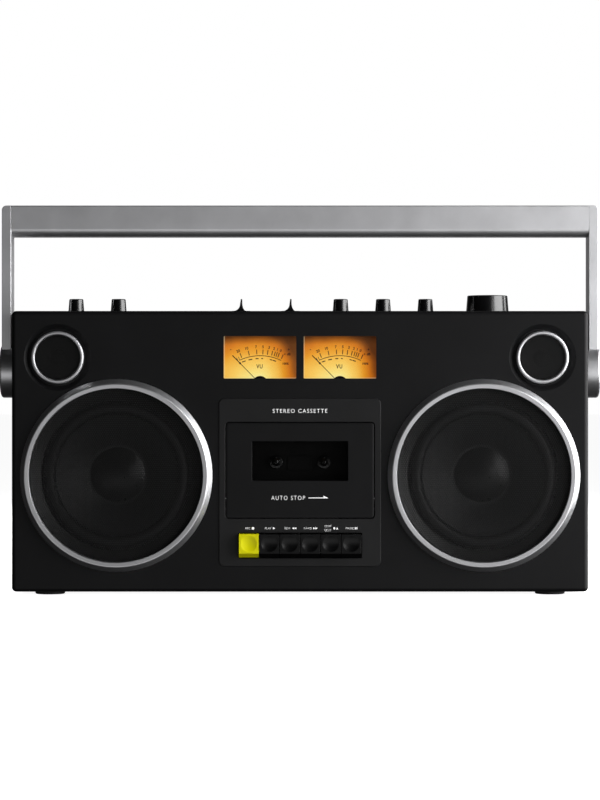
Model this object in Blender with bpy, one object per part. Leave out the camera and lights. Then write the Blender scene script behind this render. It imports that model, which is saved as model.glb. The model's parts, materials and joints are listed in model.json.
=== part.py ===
"""Portable stereo cassette player: cabinet, carrying handle, two woofers, two tweeters, two level
meters, a front-loading cassette deck with six piano keys, and a row of controls on the top.

Metres, +Z up, the front faces -Y. The origin is on the surface that the feet stand on, at the
middle of the overall box. Pieces on the front are modelled in face coordinates: x to the right,
y up, and z straight out of the front face, so a negative z is inside the cabinet.
"""

import math

import bmesh
import bpy
from mathutils import Matrix, Vector

mm = 0.001

# ---- Clearances ----
GAP = 0.3 * mm  # between pieces that rest on or sit in each other
SLIDE_GAP = 0.6 * mm  # round the door and the keys, which move in their openings
OVERLAP = 1 * mm  # how far a cutter runs past, and joined shapes run into, each other

# ---- Speakers ----
WOOFER_RING_RADIUS = 84.8 * mm  # outer edge of the silver ring
WOOFER_RING_WIDTH = 8.1 * mm
WOOFER_RING_PROUD = 6 * mm
WOOFER_SPIGOT = 1.5 * mm  # wall of the ring's collar, which sits in the baffle's hole
SPIGOT_SHORT = 0.5 * mm  # how far the collar ends short of the baffle's back
GRILLE_THICKNESS = 1.2 * mm
SURROUND_RADIUS = 65.4 * mm
CONE_RADIUS = 53.4 * mm
DUST_CAP_RADIUS = 24.3 * mm
CONE_SKIN = 1.4 * mm
CONE_DEPTH = 0.52  # fall of the cone towards the dust cap, per unit of its slant's width
CAP_BEND = 48.5 * mm  # radius of the dust cap's dome
MAGNET_RADIUS = 42 * mm
MAGNET_LENGTH = 17 * mm
BASKET_DEPTH = 32 * mm
BASKET_WALL = 4.5 * mm
BASKET_WINDOWS = 4
TWEETER_FUNNEL_RADIUS = 29.4 * mm
TWEETER_STEP = 2 * mm  # from the tweeter ring to the funnel's narrow end
TWEETER_RING_RADIUS = 23.2 * mm
TWEETER_RING_WIDTH = 3.2 * mm
TWEETER_FLANGE_RADIUS = 27.5 * mm
TWEETER_MOTOR_RADIUS = 18 * mm
TWEETER_DEPTH = 26 * mm
TWEETER_FLANGE = 3 * mm
TWEETER_RING_PROUD = 1 * mm
TWEETER_FACE = -0.8 * mm  # mesh in the ring, from the front face

# ---- Level meters ----
METER_WIDTH = 63.9 * mm
METER_HEIGHT = 37.3 * mm
METER_SPACING = 70.5 * mm
METER_DEPTH = 24 * mm
METER_RIM = 2.8 * mm  # how far the case reaches past its window
METER_COIL_RADIUS = 11 * mm
METER_COIL_LENGTH = 8 * mm
OPENING_RADIUS = 0.8 * mm  # corners of the meter and door windows
NEEDLE_LENGTH = 35 * mm
NEEDLE_WIDTH = 0.9 * mm
NEEDLE_REST_DEG = 44.4  # left of upright, with no signal
NEEDLE_HUB_RADIUS = 6.9 * mm
NEEDLE_PIVOT_DROP = 4.6 * mm  # below the window's lower edge

# ---- Deck ----
DECK_WIDTH = 142 * mm
DECK_HEIGHT = 147.4 * mm
DECK_PROUD = 0.8 * mm
DECK_FLANGE = 4 * mm
DECK_FLANGE_THICKNESS = 2 * mm
DECK_RADIUS = 5 * mm
DOOR_WIDTH = 130.2 * mm
DOOR_HEIGHT = 83.8 * mm
DOOR_TOP_MARGIN = 21.2 * mm
DOOR_PROUD = 1.3 * mm
DOOR_THICKNESS = 3 * mm
DOOR_RADIUS = 2.6 * mm
DOOR_CHAMFER_WIDTH = 2.2 * mm
DOOR_CHAMFER_DEPTH = 0.6 * mm
DOOR_WINDOW_WIDTH = 84.6 * mm
DOOR_WINDOW_HEIGHT = 34.8 * mm
DOOR_WINDOW_TOP = 16.3 * mm  # from the door's upper edge
DOOR_HINGE_UP = 4 * mm  # hinge axis above the door's lower edge
DOOR_HINGE_IN = 2.3 * mm  # and behind its face
PANE_BACK_SET = 0.4 * mm  # window pane, in front of the door's back
PANE_FRONT_SET = 0.9 * mm  # and behind the door's face
CASSETTE_WIDTH = 100.4 * mm
CASSETTE_HEIGHT = 63.8 * mm
CASSETTE_THICKNESS = 12 * mm
CASSETTE_HUB_UP = 34.6 * mm  # hub line above the edge that the heads reach into
HUB_SPACING = 42.5 * mm
SPINDLE_FLANGE = 6 * mm
SPINDLE_RADIUS = 3.4 * mm
SPINDLE_NOSE = 1.6 * mm
SPINDLE_STUB = 2 * mm
STUB_LENGTH = 1.5 * mm  # how far a spindle comes out behind the chassis
DRIVE_FINS = 3
PAD_WIDTH = 21.4 * mm
PAD_PROUD = 1.2 * mm
PAD_ABOVE, PAD_BELOW = 5.6 * mm, 7.4 * mm  # from the hub line
KEY_COUNT = 6
KEY_WIDTH = 17.4 * mm
KEY_PITCH = 18 * mm
KEY_HEIGHT = 20.8 * mm
KEY_FACET = 3.6 * mm  # height of the slope under each key
KEY_FACET_ROOT = 1.5 * mm  # where the slope meets the underside, out from the face
KEY_PROUD = 7.5 * mm
KEY_LENGTH = 12 * mm  # from the face back to the key's inner end
KEY_ROW_UP = 7.7 * mm  # from the deck panel's lower edge
DISH_RADIUS = 7.3 * mm
DISH_DEPTH = 1.2 * mm
HEAD_TRAVEL = 5 * mm
FLYWHEEL_RADIUS = 26 * mm
FLYWHEEL_THICKNESS = 7 * mm
BEARING_RADIUS = 4 * mm
FLYWHEEL_BOSS = 3 * mm
BOSS_LENGTH = 2 * mm
CAPSTAN_RADIUS = 1.2 * mm
PULLEY_RADIUS = 4 * mm
BELT_WIDTH = 4 * mm
BELT_THICKNESS = 1.2 * mm
MOTOR_RADIUS = 17 * mm
MOTOR_LENGTH = 24 * mm
PINCH_RADIUS = 5.5 * mm
ROLLER_PIN_RADIUS = 1.2 * mm
HEAD_PLATE_THICKNESS = 1.4 * mm
HEAD_WIDTH = 13 * mm
MOTOR_SHAFT_RADIUS = 1 * mm
MOTOR_POST_RADIUS = 2.5 * mm

# ---- Cabinet ----
BODY_DEPTH = 120 * mm
WALL = 3 * mm
BAFFLE_THICKNESS = 4 * mm
BAFFLE_DEPTH = 14 * mm  # from the face to the seam with the rear cabinet
EDGE_RADIUS = 4 * mm
SIDE_MARGIN = 7.4 * mm  # from the woofer ring to the cabinet's side
BOTTOM_MARGIN = 17.8 * mm
TOP_MARGIN = 60.1 * mm
DECK_TO_RING = 6 * mm
DECK_UP = 22.8 * mm  # deck panel above the cabinet's underside
METER_TOP_MARGIN = 22.2 * mm
METER_TO_DECK = 17.6 * mm
TWEETER_SIDE_MARGIN = 40.4 * mm
TWEETER_TOP_MARGIN = 41 * mm
FOOT_RADIUS = 13.3 * mm
FOOT_HEIGHT = 3 * mm
FOOT_BEVEL = 1.2 * mm
FOOT_SIDE_MARGIN = 32 * mm
FOOT_END_MARGIN = 24 * mm
BATTERY_WIDTH = 140 * mm
BATTERY_HEIGHT = 52 * mm
BATTERY_LENGTH = 38 * mm
BATTERY_DOOR_MARGIN = 8 * mm
BATTERY_UP = 18 * mm
BATTERY_RADIUS = 4 * mm
BATTERY_DOOR_RADIUS = 0.8 * mm
INLET_WIDTH = 15.6 * mm
INLET_HEIGHT = 8.4 * mm
INLET_DEPTH = 12 * mm
INLET_OFFSET = 52 * mm  # right of the middle, seen from the front
INLET_PIN_SPACING = 8.6 * mm
INLET_PIN_RADIUS = 1.2 * mm
INLET_PIN_SET = 2 * mm  # how far the pins end inside the inlet's mouth
INLET_RIM = 3 * mm
INLET_UP = 16 * mm  # above the main board's lower edge
BOARD_TO_BACK = 22 * mm
BOARD_THICKNESS = 1.6 * mm
SINK_WIDTH, SINK_HEIGHT, SINK_DEPTH = 50 * mm, 24 * mm, 14 * mm
SINK_BASE = 4 * mm
SINK_SLOTS = 5
SLOT_WIDTH = 4 * mm
SINK_SIDE_MARGIN, SINK_TOP_MARGIN = 8 * mm, 6 * mm
TRANSFORMER_WIDTH, TRANSFORMER_HEIGHT, TRANSFORMER_DEPTH = 40 * mm, 32 * mm, 15 * mm
TRANSFORMER_SIDE_MARGIN, TRANSFORMER_UP = 14 * mm, 8 * mm

# ---- Top controls ----
SMALL_KNOB_RADIUS = 7.2 * mm
SMALL_KNOB_HEIGHT = 12.6 * mm
LARGE_KNOB_RADIUS = 19.2 * mm
LARGE_KNOB_HEIGHT = 15.6 * mm
KNOB_TAPER = 0.075  # how much of its radius a knob loses per radius of height, about 4 degrees
KNOB_PITCH = 38.2 * mm
LEFT_KNOBS_MARGIN = 52.2 * mm  # from the cabinet's side to the outer left knob
LARGE_KNOB_MARGIN = 85 * mm  # from the cabinet's side to the volume knob
LARGE_KNOB_PITCH = 55.9 * mm
SWITCH_PITCH = 44.5 * mm
SWITCH_OFFSET = 8.5 * mm  # inner switch left of the middle
SWITCH_CAP_WIDTH = 15.9 * mm
SWITCH_CAP_LENGTH = 11 * mm
SWITCH_CAP_HEIGHT = 12.4 * mm
SWITCH_TRAVEL = 3 * mm
STEM_RADIUS = 3 * mm
STEM_REACH = 4 * mm  # down from the inside of the top to the control's body
CONTROL_WIDTH = 16 * mm
CONTROL_HEIGHT = 10 * mm
CONTROL_BOARD_DEPTH = 28 * mm
KNOB_BEVEL = 0.8 * mm
SWITCH_BLADE = 0.95 * mm  # half of the finger blade's thickness
SWITCH_BASE = 1.8 * mm

# ---- Handle ----
HANDLE_RISE = 96 * mm  # top of the handle above the cabinet
GRIP_HEIGHT = 28.5 * mm
GRIP_DEPTH = 28 * mm
GRIP_WALL = 2.5 * mm
ARM_THICKNESS = 8.4 * mm
ARM_GAP = 5.2 * mm  # between the arm and the cabinet's side
HUB_RADIUS = 24 * mm
HUB_DROP = 52.5 * mm  # pivot below the cabinet's top
PIVOT_RADIUS = 5 * mm
GRIP_ROUND = 7 * mm
ARM_ROUND = 4.3 * mm
SPIGOT_REACH = 4 * mm  # hub's spigot, past the inside of the cabinet's wall
ARM_FOOT = 0.38  # lower end of the arm above the pivot, per unit of the hub's radius
HUB_PROUD = 1.2 * mm  # past the arm

LARGE, MEDIUM, SMALL = 36, 24, 16  # segments round a turned piece

# ---- Derived sizes and places ----
WOOFER_COLUMN = BOTTOM_MARGIN + 2 * WOOFER_RING_RADIUS + TOP_MARGIN
CENTRE_COLUMN = DECK_UP + DECK_HEIGHT + METER_TO_DECK + METER_HEIGHT + METER_TOP_MARGIN
BODY_HEIGHT = max(WOOFER_COLUMN, CENTRE_COLUMN)
BODY_WIDTH = DECK_WIDTH + 2 * (DECK_TO_RING + 2 * WOOFER_RING_RADIUS + SIDE_MARGIN)
SIDE = BODY_WIDTH / 2
BASE = FOOT_HEIGHT
TOP = BASE + BODY_HEIGHT
FACE_Y = -(BODY_DEPTH - KEY_PROUD) / 2
REAR_Y = FACE_Y + BODY_DEPTH
MID_Y = FACE_Y + BODY_DEPTH / 2
SEAM_Y = FACE_Y + BAFFLE_DEPTH

WOOFER_X = SIDE - SIDE_MARGIN - WOOFER_RING_RADIUS
WOOFER_Z = BASE + BOTTOM_MARGIN + WOOFER_RING_RADIUS
WOOFER_OPENING = WOOFER_RING_RADIUS - WOOFER_RING_WIDTH
WOOFER_HOLE = WOOFER_OPENING + WOOFER_SPIGOT + GAP
WOOFER_FLANGE = WOOFER_RING_RADIUS - 4.8 * mm
TWEETER_X = SIDE - TWEETER_SIDE_MARGIN
TWEETER_Z = TOP - TWEETER_TOP_MARGIN

METER_TOP = TOP - METER_TOP_MARGIN
METER_Z = METER_TOP - METER_HEIGHT / 2
METER_X = METER_SPACING / 2
NEEDLE_Z = METER_TOP - METER_HEIGHT - NEEDLE_PIVOT_DROP
WINDOW_THICKNESS = 1.3 * mm
WINDOW_BACK = -BAFFLE_THICKNESS - GAP - WINDOW_THICKNESS
NEEDLE_FRONT = WINDOW_BACK - 1.4 * mm
NEEDLE_BACK = NEEDLE_FRONT - 2.6 * mm
DIAL_FRONT = NEEDLE_BACK - 0.9 * mm

DECK_BOTTOM = BASE + DECK_UP
DECK_TOP = DECK_BOTTOM + DECK_HEIGHT
DECK_Z = (DECK_BOTTOM + DECK_TOP) / 2
DOOR_TOP = DECK_TOP - DOOR_TOP_MARGIN
DOOR_BOTTOM = DOOR_TOP - DOOR_HEIGHT
DOOR_Z = (DOOR_TOP + DOOR_BOTTOM) / 2
DOOR_BACK = DOOR_PROUD - DOOR_THICKNESS
HINGE_Z = DOOR_BOTTOM + DOOR_HINGE_UP
HINGE_Y = FACE_Y - DOOR_PROUD + DOOR_HINGE_IN
WINDOW_Z = DOOR_TOP - DOOR_WINDOW_TOP - DOOR_WINDOW_HEIGHT / 2
HUB_Z = WINDOW_Z - 1.3 * mm
CASSETTE_BOTTOM = HUB_Z - CASSETTE_HUB_UP
CASSETTE_TOP = CASSETTE_BOTTOM + CASSETTE_HEIGHT

HOLDER_WALL = 1.6 * mm
HOLDER_RAIL = 2 * mm
HOLDER_LIP = 3 * mm
HOLDER_LEDGE = 12 * mm  # at each end, with the heads' opening between them
HOLDER_FRONT = DOOR_BACK - GAP
BAY_FRONT = HOLDER_FRONT - HOLDER_WALL
BAY_BACK = BAY_FRONT - CASSETTE_THICKNESS - 2 * GAP
HOLDER_BACK = BAY_BACK - HOLDER_WALL
CHASSIS_FRONT = HOLDER_BACK - 1.8 * mm
CHASSIS_THICKNESS = 1.6 * mm
CHASSIS_BACK = CHASSIS_FRONT - CHASSIS_THICKNESS
SPINDLE_TIP = BAY_FRONT - 4 * mm

CAPSTAN_X = 28.5 * mm
CAPSTAN_Z = CASSETTE_BOTTOM + 7 * mm
FLYWHEEL_FRONT = CHASSIS_BACK - 3 * mm
FLYWHEEL_BACK = FLYWHEEL_FRONT - FLYWHEEL_THICKNESS
BELT_MIDDLE = (FLYWHEEL_FRONT + FLYWHEEL_BACK) / 2
MOTOR_X = CAPSTAN_X - FLYWHEEL_RADIUS - MOTOR_RADIUS - 17.5 * mm
MOTOR_Z = CAPSTAN_Z - 4 * mm
MOTOR_FRONT = FLYWHEEL_BACK - 4 * mm
MOTOR_BACK = MOTOR_FRONT - MOTOR_LENGTH
PINCH_Z = CAPSTAN_Z - CAPSTAN_RADIUS - PINCH_RADIUS - HEAD_TRAVEL - GAP
HEAD_TOP = CASSETTE_BOTTOM - 3 * mm

KEYS_WIDTH = (KEY_COUNT - 1) * KEY_PITCH + KEY_WIDTH
KEYS_BOTTOM = DECK_BOTTOM + KEY_ROW_UP
KEYS_TOP = KEYS_BOTTOM + KEY_HEIGHT

BOARD_Y = REAR_Y - WALL - BOARD_TO_BACK
BOARD_BOTTOM = BASE + BATTERY_UP + BATTERY_HEIGHT + 14 * mm
INLET_Z = BOARD_BOTTOM + INLET_UP

HANDLE_TOP = TOP + HANDLE_RISE
GRIP_BOTTOM = HANDLE_TOP - GRIP_HEIGHT
PIVOT_Z = TOP - HUB_DROP
ARM_INNER = SIDE + ARM_GAP
ARM_OUTER = ARM_INNER + ARM_THICKNESS
HUB_INNER = SIDE + 2 * GAP
HUB_OUTER = ARM_OUTER + HUB_PROUD

SMALL_KNOB_XS = (
    -SIDE + LEFT_KNOBS_MARGIN,
    -SIDE + LEFT_KNOBS_MARGIN + KNOB_PITCH,
    SIDE - LARGE_KNOB_MARGIN - LARGE_KNOB_PITCH - 2 * KNOB_PITCH,
    SIDE - LARGE_KNOB_MARGIN - LARGE_KNOB_PITCH - KNOB_PITCH,
    SIDE - LARGE_KNOB_MARGIN - LARGE_KNOB_PITCH,
)
SMALL_KNOB_NAMES = ("left_mic_knob", "right_mic_knob", "bass_knob", "treble_knob", "balance_knob")
VOLUME_X = SIDE - LARGE_KNOB_MARGIN
SWITCH_XS = (-SWITCH_OFFSET - SWITCH_PITCH, -SWITCH_OFFSET)
SWITCH_NAMES = ("source_switch", "tape_switch")

FACINGS = {
    "up": (0, 0, 0),
    "front": (math.pi / 2, 0, 0),
    "right": (0, math.pi / 2, 0),
    "left": (0, -math.pi / 2, 0),
}


# ---- Materials ----
def material(name, colour, roughness, metallic=0.0, alpha=1.0):
    """A Principled BSDF, made once for each name."""
    if name in bpy.data.materials:
        return bpy.data.materials[name]
    made = bpy.data.materials.new(name)
    made.use_nodes = True
    shader = made.node_tree.nodes["Principled BSDF"]
    shader.inputs["Base Color"].default_value = (*colour, 1)
    shader.inputs["Roughness"].default_value = roughness
    shader.inputs["Metallic"].default_value = metallic
    shader.inputs["Alpha"].default_value = alpha
    return made


def black_plastic():
    return material("black_plastic", (0.012, 0.012, 0.013), 0.5)


def deck_plastic():
    return material("deck_plastic", (0.018, 0.018, 0.019), 0.42)


def gloss_black():
    return material("gloss_black", (0.008, 0.008, 0.009), 0.25)


def silver():
    return material("satin_aluminium", (0.62, 0.62, 0.64), 0.32, 1.0)


def steel():
    return material("steel", (0.5, 0.5, 0.5), 0.3, 1.0)


def mesh_black():
    return material("speaker_mesh", (0.01, 0.01, 0.01), 0.6, 0.5)


def cone_paper():
    return material("cone_paper", (0.015, 0.015, 0.016), 0.7)


def rubber():
    return material("rubber", (0.01, 0.01, 0.01), 0.85)


def dial_amber():
    return material("lit_dial", (0.85, 0.5, 0.12), 0.6)


def yellow():
    return material("yellow_key", (0.7, 0.66, 0.0), 0.4)


def clear(name, alpha):
    return material(name, (0.05, 0.05, 0.05), 0.08, 0.0, alpha)


def board_green():
    return material("circuit_board", (0.02, 0.1, 0.04), 0.5)


# ---- Modelling helpers ----
def finish(name, bm, surface, location=(0, 0, 0), facing="up"):
    """Turns a bmesh into a placed object, shaded smooth up to 35 degrees."""
    bmesh.ops.recalc_face_normals(bm, faces=bm.faces)
    mesh = bpy.data.meshes.new(name)
    bm.to_mesh(mesh)
    bm.free()
    mesh.shade_smooth()
    mesh.set_sharp_from_angle(angle=math.radians(35))
    obj = bpy.data.objects.new(name, mesh)
    if surface is not None:
        mesh.materials.append(surface)
    bpy.context.scene.collection.objects.link(obj)
    obj.location = location
    obj.rotation_euler = FACINGS[facing]
    return obj


def block(name, low, high, surface=None, radius=0.0, steps=2, rounded=None):
    """A box between two world corners. rounded(edge) picks the edges that get the radius."""
    bm = bmesh.new()
    bmesh.ops.create_cube(bm, size=1)
    low, high = Vector(low), Vector(high)
    bmesh.ops.scale(bm, vec=high - low, verts=bm.verts)
    bmesh.ops.translate(bm, vec=(low + high) / 2, verts=bm.verts)
    if radius:
        edges = [edge for edge in bm.edges if rounded is None or rounded(edge)]
        bmesh.ops.bevel(bm, geom=edges, offset=radius, segments=steps, profile=0.5, affect="EDGES")
    return finish(name, bm, surface)


def along(edge, axis):
    """Whether an edge runs along X (0), Y (1) or Z (2)."""
    direction = edge.verts[1].co - edge.verts[0].co
    return abs(direction[axis]) > 0.99 * direction.length


def turned(name, profile, surface=None, location=(0, 0, 0), facing="up", segments=MEDIUM):
    """A solid of revolution about its own Z, from a closed profile of (radius, height)."""
    bm = bmesh.new()
    points = [bm.verts.new((radius, 0, height)) for radius, height in profile]
    rim = [
        bm.edges.new((a, b))
        for a, b in zip(points, points[1:] + points[:1])
        if a.co.x > 0 or b.co.x > 0
    ]
    bmesh.ops.spin(
        bm,
        geom=points + rim,
        cent=(0, 0, 0),
        axis=(0, 0, 1),
        angle=2 * math.pi,
        steps=segments,
        use_merge=True,
    )
    bmesh.ops.remove_doubles(bm, verts=bm.verts, dist=1e-6)
    return finish(name, bm, surface, location, facing)


def bore_profile(radius, low, high):
    """A plain round bore or pin between two heights, as a profile for turned()."""
    return [(0, low), (radius, low), (radius, high), (0, high)]


def extruded(name, outline, low, high, surface=None, location=(0, 0, 0), facing="up"):
    """A flat outline, raised from low to high along its own Z."""
    bm = bmesh.new()
    face = bm.faces.new([bm.verts.new((x, y, low)) for x, y in outline])
    raised = bmesh.ops.extrude_face_region(bm, geom=[face])["geom"]
    top = [item for item in raised if isinstance(item, bmesh.types.BMVert)]
    bmesh.ops.translate(bm, vec=(0, 0, high - low), verts=top)
    return finish(name, bm, surface, location, facing)


def arc(centre, radius, start, end, steps):
    """Points along an arc, with the angles in degrees."""
    angles = [math.radians(start + (end - start) * i / steps) for i in range(steps + 1)]
    return [(centre[0] + radius * math.cos(a), centre[1] + radius * math.sin(a)) for a in angles]


def rectangle(width, height, radius=0.0, steps=3, centre=(0, 0)):
    """The outline of a rectangle with round corners."""
    points = []
    for sx, sy, start in ((1, 1, 0), (-1, 1, 90), (-1, -1, 180), (1, -1, 270)):
        corner = (centre[0] + sx * (width / 2 - radius), centre[1] + sy * (height / 2 - radius))
        points += arc(corner, radius, start, start + 90, steps) if radius else [corner]
    return points


def helper(obj):
    """Marks a shape that only cuts or joins another."""
    obj.hide_render = True
    obj.display_type = "WIRE"
    return obj


def boolean(obj, others, operation):
    for other in others:
        modifier = obj.modifiers.new(operation.lower(), "BOOLEAN")
        modifier.operation = operation
        modifier.object = helper(other)
    return obj


def cut(obj, *cutters):
    return boolean(obj, cutters, "DIFFERENCE")


def join(obj, *others):
    return boolean(obj, others, "UNION")


def set_origin(obj, point):
    """Moves an object's origin to a world point and leaves its shape where it is."""
    bpy.context.view_layer.update()
    shift = obj.matrix_world.inverted() @ Vector(point)
    obj.data.transform(Matrix.Translation(-shift))
    obj.location = point
    return obj


def on_face(x, z):
    return (x, FACE_Y, z)


# ---- Cabinet ----
def baffle_openings():
    """Everything that the front baffle is cut for."""
    through = (-BAFFLE_DEPTH - OVERLAP, OVERLAP)
    cutters = []
    for side in (-1, 1):
        woofer_place = on_face(side * WOOFER_X, WOOFER_Z)
        tweeter_place = on_face(side * TWEETER_X, TWEETER_Z)
        meter_place = on_face(side * METER_X, METER_Z)
        hole = bore_profile(WOOFER_HOLE, *through)
        cutters.append(turned("woofer_hole", hole, None, woofer_place, "front", LARGE))
        narrowing = TWEETER_FUNNEL_RADIUS - TWEETER_RING_RADIUS - TWEETER_STEP
        slope = narrowing / BAFFLE_THICKNESS
        funnel = [
            (0, through[0]),
            (TWEETER_FUNNEL_RADIUS + slope * through[0], through[0]),
            (TWEETER_FUNNEL_RADIUS + slope * through[1], through[1]),
            (0, through[1]),
        ]
        cutters.append(turned("tweeter_hole", funnel, None, tweeter_place, "front"))
        window = rectangle(METER_WIDTH, METER_HEIGHT, OPENING_RADIUS)
        cutters.append(extruded("meter_hole", window, *through, None, meter_place, "front"))
    deck = rectangle(DECK_WIDTH + 2 * GAP, DECK_HEIGHT + 2 * GAP, DECK_RADIUS)
    cutters.append(extruded("deck_hole", deck, *through, None, on_face(0, DECK_Z), "front"))
    return cutters


def front_baffle():
    def rounded(edge):
        middle = (edge.verts[0].co + edge.verts[1].co) / 2
        return along(edge, 1) or abs(middle.y - FACE_Y) < GAP

    shell = block(
        "front_baffle",
        (-SIDE, FACE_Y, BASE),
        (SIDE, SEAM_Y, TOP),
        black_plastic(),
        EDGE_RADIUS,
        3,
        rounded,
    )
    inside = block(
        "baffle_inside",
        (-SIDE + WALL, FACE_Y + BAFFLE_THICKNESS, BASE + WALL),
        (SIDE - WALL, SEAM_Y + OVERLAP, TOP - WALL),
    )
    return cut(shell, inside, *baffle_openings())


def rear_cabinet():
    """The tub behind the baffle: top, underside, both sides and the back in one moulding."""

    def rounded(edge):
        middle = (edge.verts[0].co + edge.verts[1].co) / 2
        return along(edge, 1) or abs(middle.y - REAR_Y) < GAP

    tub = block(
        "rear_cabinet",
        (-SIDE, SEAM_Y + GAP, BASE),
        (SIDE, REAR_Y, TOP),
        black_plastic(),
        EDGE_RADIUS,
        3,
        rounded,
    )
    inside = block(
        "tub_inside",
        (-SIDE + WALL, SEAM_Y - OVERLAP, BASE + WALL),
        (SIDE - WALL, REAR_Y - WALL, TOP - WALL),
    )
    cutters = [inside]
    pivot = bore_profile(PIVOT_RADIUS + GAP, -SIDE - OVERLAP, SIDE + OVERLAP)
    cutters.append(turned("pivot_holes", pivot, None, (0, MID_Y, PIVOT_Z), "right"))
    stem = bore_profile(STEM_RADIUS + GAP, -WALL - OVERLAP, OVERLAP)
    for x in (*SMALL_KNOB_XS, VOLUME_X):
        cutters.append(turned("stem_hole", stem, None, (x, MID_Y, TOP), "up", SMALL))
    for x in SWITCH_XS:
        reach = SWITCH_TRAVEL + STEM_RADIUS / 2 + GAP
        cutters.append(
            block(
                "switch_slot",
                (x - reach, MID_Y - STEM_RADIUS / 2 - GAP, TOP - WALL - OVERLAP),
                (x + reach, MID_Y + STEM_RADIUS / 2 + GAP, TOP + OVERLAP),
            )
        )
    low, high = battery_door_corners()
    cutters.append(
        block(
            "battery_hole",
            (low[0] - GAP, REAR_Y - WALL - OVERLAP, low[2] - GAP),
            (high[0] + GAP, REAR_Y + OVERLAP, high[2] + GAP),
        )
    )
    cutters.append(inlet_shape("inlet_hole", REAR_Y - WALL - OVERLAP, REAR_Y + OVERLAP))
    return cut(tub, *cutters)


def inlet_shape(name, y_low, y_high):
    """Round-ended opening of the mains inlet, between two depths."""
    outline = rectangle(INLET_WIDTH, INLET_HEIGHT, INLET_HEIGHT / 2 - GAP, 4)
    return extruded(name, outline, -y_high, -y_low, None, (INLET_OFFSET, 0, INLET_Z), "front")


def battery_door_corners():
    half = BATTERY_WIDTH / 2 + BATTERY_DOOR_MARGIN
    bottom = BASE + BATTERY_UP - BATTERY_DOOR_MARGIN
    return (
        (-half, REAR_Y - WALL, bottom),
        (half, REAR_Y, bottom + BATTERY_HEIGHT + 2 * BATTERY_DOOR_MARGIN),
    )


def battery():
    low, high = battery_door_corners()
    radius = BATTERY_DOOR_RADIUS
    block("battery_door", low, high, black_plastic(), radius, 1, lambda edge: along(edge, 1))
    back = REAR_Y - WALL - 2 * GAP
    block(
        "battery_pack",
        (-BATTERY_WIDTH / 2, back - BATTERY_LENGTH, BASE + BATTERY_UP),
        (BATTERY_WIDTH / 2, back, BASE + BATTERY_UP + BATTERY_HEIGHT),
        gloss_black(),
        BATTERY_RADIUS,
        2,
        lambda edge: along(edge, 0),
    )


def main_board():
    """Amplifier and logic board, upright behind the deck: heat sink, transformer and mains inlet."""
    low, high = BOARD_BOTTOM, PIVOT_Z - 12 * mm
    half = DECK_WIDTH / 2
    face = BOARD_Y + BOARD_THICKNESS
    inside = face - OVERLAP / 2
    board = block("main_board", (-half, BOARD_Y, low), (half, face, high), board_green())
    sink_left, sink_top = SINK_SIDE_MARGIN - half, high - SINK_TOP_MARGIN
    sink = block(
        "heat_sink_body",
        (sink_left, inside, sink_top - SINK_HEIGHT),
        (sink_left + SINK_WIDTH, face + SINK_DEPTH, sink_top),
    )
    slot_pitch = SINK_WIDTH / SINK_SLOTS
    slots = []
    for i in range(SINK_SLOTS):
        slot_left = sink_left + SLOT_WIDTH + i * slot_pitch
        slots.append(
            block(
                "heat_sink_slot",
                (slot_left, face + SINK_BASE, sink_top - SINK_HEIGHT - OVERLAP),
                (slot_left + SLOT_WIDTH, face + SINK_DEPTH + OVERLAP, sink_top + OVERLAP),
            )
        )
    core_left, core_bottom = TRANSFORMER_SIDE_MARGIN - half, low + TRANSFORMER_UP
    transformer = block(
        "transformer_body",
        (core_left, inside, core_bottom),
        (core_left + TRANSFORMER_WIDTH, face + TRANSFORMER_DEPTH, core_bottom + TRANSFORMER_HEIGHT),
    )
    mouth = REAR_Y - WALL - GAP
    reach_x, reach_z = INLET_WIDTH / 2 + INLET_RIM, INLET_HEIGHT / 2 + INLET_RIM
    socket = block(
        "inlet_socket",
        (INLET_OFFSET - reach_x, inside, INLET_Z - reach_z),
        (INLET_OFFSET + reach_x, mouth, INLET_Z + reach_z),
    )
    join(board, cut(sink, *slots), transformer, socket)
    cut(board, inlet_shape("inlet_pocket", mouth - INLET_DEPTH, mouth + OVERLAP))
    pin = bore_profile(INLET_PIN_RADIUS, OVERLAP - INLET_DEPTH + INLET_PIN_SET, OVERLAP)
    for side in (-1, 1):
        place = (INLET_OFFSET + side * INLET_PIN_SPACING / 2, mouth - INLET_DEPTH, INLET_Z)
        join(board, turned("inlet_pin", pin, None, place, "front", SMALL // 2))


def control_board():
    """One long board under the top, with a potentiometer under each knob and two slide switches."""
    body_top = TOP - WALL - STEM_REACH
    body_bottom = body_top - CONTROL_HEIGHT
    half = CONTROL_WIDTH / 2
    margin = half + 4 * mm
    board = block(
        "control_board",
        (SMALL_KNOB_XS[0] - margin, MID_Y - CONTROL_BOARD_DEPTH / 2, body_bottom - BOARD_THICKNESS),
        (VOLUME_X + margin, MID_Y + CONTROL_BOARD_DEPTH / 2, body_bottom),
        board_green(),
    )
    bodies = [
        block(
            "control_body",
            (x - half, MID_Y - half, body_bottom - OVERLAP / 2),
            (x + half, MID_Y + half, body_top),
        )
        for x in (*SMALL_KNOB_XS, *SWITCH_XS, VOLUME_X)
    ]
    return join(board, *bodies)


def feet():
    profile = [
        (0, 0),
        (FOOT_RADIUS - FOOT_BEVEL, 0),
        (FOOT_RADIUS, FOOT_BEVEL),
        (FOOT_RADIUS, FOOT_HEIGHT - GAP),
        (0, FOOT_HEIGHT - GAP),
    ]
    for across, sx in (("left", -1), ("right", 1)):
        for end, y in (("front", FACE_Y + FOOT_END_MARGIN), ("rear", REAR_Y - FOOT_END_MARGIN)):
            place = (sx * (SIDE - FOOT_SIDE_MARGIN), y, 0)
            turned(f"{end}_{across}_foot", profile, rubber(), place, "up", SMALL + 4)


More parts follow.
